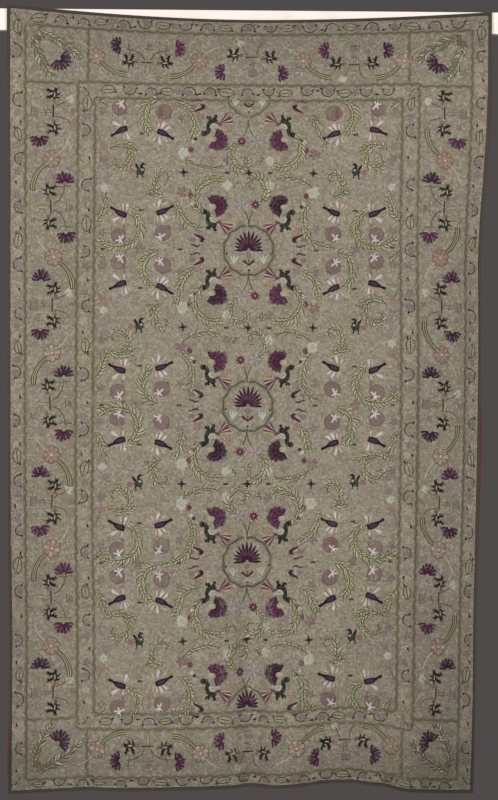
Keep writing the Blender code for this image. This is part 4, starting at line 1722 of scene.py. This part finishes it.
def white_paint():
    """Painted timber: brush marks along the bar, small dirt and rubbed spots."""
    made, tree, shader = material("white_bar_paint")
    place = object_place(tree)
    stretch = add(tree, "ShaderNodeMapping")
    stretch.inputs["Scale"].default_value = (3.0, 120.0, 120.0)
    tree.links.new(place, stretch.inputs["Vector"])
    brush = noise(tree, stretch.outputs["Vector"], 1.6, 4.0)
    clean, dirty, brushed = BAR_WHITES
    colour = blend_colour(tree, band(tree, noise(tree, place, 14.0, 5.0), 0.48, 0.75), clean, dirty)
    colour = blend_colour(tree, band(tree, brush, 0.50, 0.80), colour, brushed)
    tree.links.new(colour, shader.inputs["Base Color"])
    tree.links.new(reckon(tree, "MULTIPLY_ADD", brush, 0.25, 0.32), shader.inputs["Roughness"])
    raise_bump(tree, shader, brush, 0.25, 0.0005)
    return made


def floor_paint():
    """A plain pale floor."""
    made, tree, shader = material("pale_floor")
    colour = blend_colour(tree, noise(tree, object_place(tree), 2.0, 3.0), *FLOOR_GREYS)
    tree.links.new(colour, shader.inputs["Base Color"])
    shader.inputs["Roughness"].default_value = 0.85
    return made


# Assembly

SILKS = {
    # thread: wear, roughness, sheen
    "plum_silk": (0.05, 0.55, 0.05),
    "dark_silk": (0.0, 0.60, 0.0),
    "green_silk": (0.30, 0.50, 0.15),
    "pale_silk": (0.25, 0.45, 0.20),
    "cream_silk": (0.25, 0.45, 0.20),
    "rose_silk": (0.28, 0.48, 0.20),
    "border_lines": (0.30, 0.55, 0.10),
}


def embroider(painted_shade):
    """Sew everything, then make one mesh of each thread."""
    scatter_faint()
    field()
    guards()
    for side in (1, -1):
        border_side(side)
        for up in (1, -1):
            corner_square(side, up)
    border_end(TOP_BIRDS, TOP_ROSETTES, TOP_CARNATIONS, 1)
    border_end(BOTTOM_BIRDS, BOTTOM_ROSETTES, BOTTOM_CARNATIONS, -1)
    border_lines()
    group = silk_group()
    made = []
    for thread, look in SILKS.items():
        item = thread_mesh(thread, np.concatenate(SEWN[thread]))
        item.data.materials.append(silk(thread, group, painted_shade, *look))
        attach(item, "root")
        made.append(item)
    return made


# Floor, surroundings, lamps and camera. The camera stands 5 m in front of the cloth
FLOOR_LEVEL = -2.60
FLOOR_SIZE = 4.0
WALL_GREY = (0.078, 0.070, 0.068)
LAMP_SIZE = 1.4
LAMP_AIM = (0.0, 0.0, -1.15)
CAMERA_PLACE = (0.0, -5.0248, -1.137)
CAMERA_ROLL = 0.48


def lamp(name, place, power):
    """A soft round lamp, aimed at the middle of the cloth."""
    data = bpy.data.lights.new(name, "AREA")
    data.energy = power
    data.shape = "DISK"
    data.size = LAMP_SIZE
    made = bpy.data.objects.new(name, data)
    made.location = place
    away = np.array(LAMP_AIM) - np.array(place)
    yaw = math.atan2(-away[0], away[1])
    pitch = math.atan2(away[2], math.hypot(away[0], away[1]))
    made.rotation_euler = (math.pi / 2 + pitch, 0.0, yaw)
    bpy.context.scene.collection.objects.link(made)


def dress():
    """The two cloths, the silks and the bar's paint."""
    weave = weave_group()
    # Painted shade for the cloth and silks, darker towards the hems
    painted_shade = painted_shade_group()
    face = sheet("embroidered_face", FACE_ACROSS, FACE_DOWN, FACE_FRONT, FACE_BACK)
    face.data.materials.append(cotton_ground(weave, painted_shade))
    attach(face, "root")
    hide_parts("face_cloth")
    lining = lining_sheet()
    lining.data.materials.append(red_cotton(weave))
    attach(lining, "root")
    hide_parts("lining")
    silks = embroider(painted_shade)
    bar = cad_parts["hanging_bar"]
    bar.data.materials.clear()
    bar.data.materials.append(white_paint())


def studio():
    """Pale floor, two soft lights, plain grey surroundings and the camera."""
    bpy.ops.object.select_all(action="DESELECT")
    bpy.ops.mesh.primitive_plane_add(size=FLOOR_SIZE, location=(0.0, -1.2, FLOOR_LEVEL))
    floor = bpy.context.object
    floor.name = "floor"
    floor.data.materials.append(floor_paint())

    world = bpy.data.worlds.new("studio")
    world.use_nodes = True
    background = world.node_tree.nodes["Background"]
    background.inputs["Color"].default_value = (*WALL_GREY, 1.0)
    background.inputs["Strength"].default_value = 1.0
    bpy.context.scene.world = world

    lamp("left lamp", (-5.6, -4.4, 1.1), 468.0)
    lamp("right lamp", (5.6, -4.4, 1.5), 405.0)

    data = bpy.data.cameras.new("camera")
    data.sensor_fit = "VERTICAL"
    data.sensor_height = 36.0
    data.lens = 75.0
    camera = bpy.data.objects.new("camera", data)
    camera.location = CAMERA_PLACE
    camera.rotation_euler = (math.pi / 2, -math.radians(CAMERA_ROLL), 0.0)
    bpy.context.scene.collection.objects.link(camera)
    bpy.context.scene.camera = camera
    bpy.context.scene.view_settings.view_transform = "Standard"


dress()
studio()
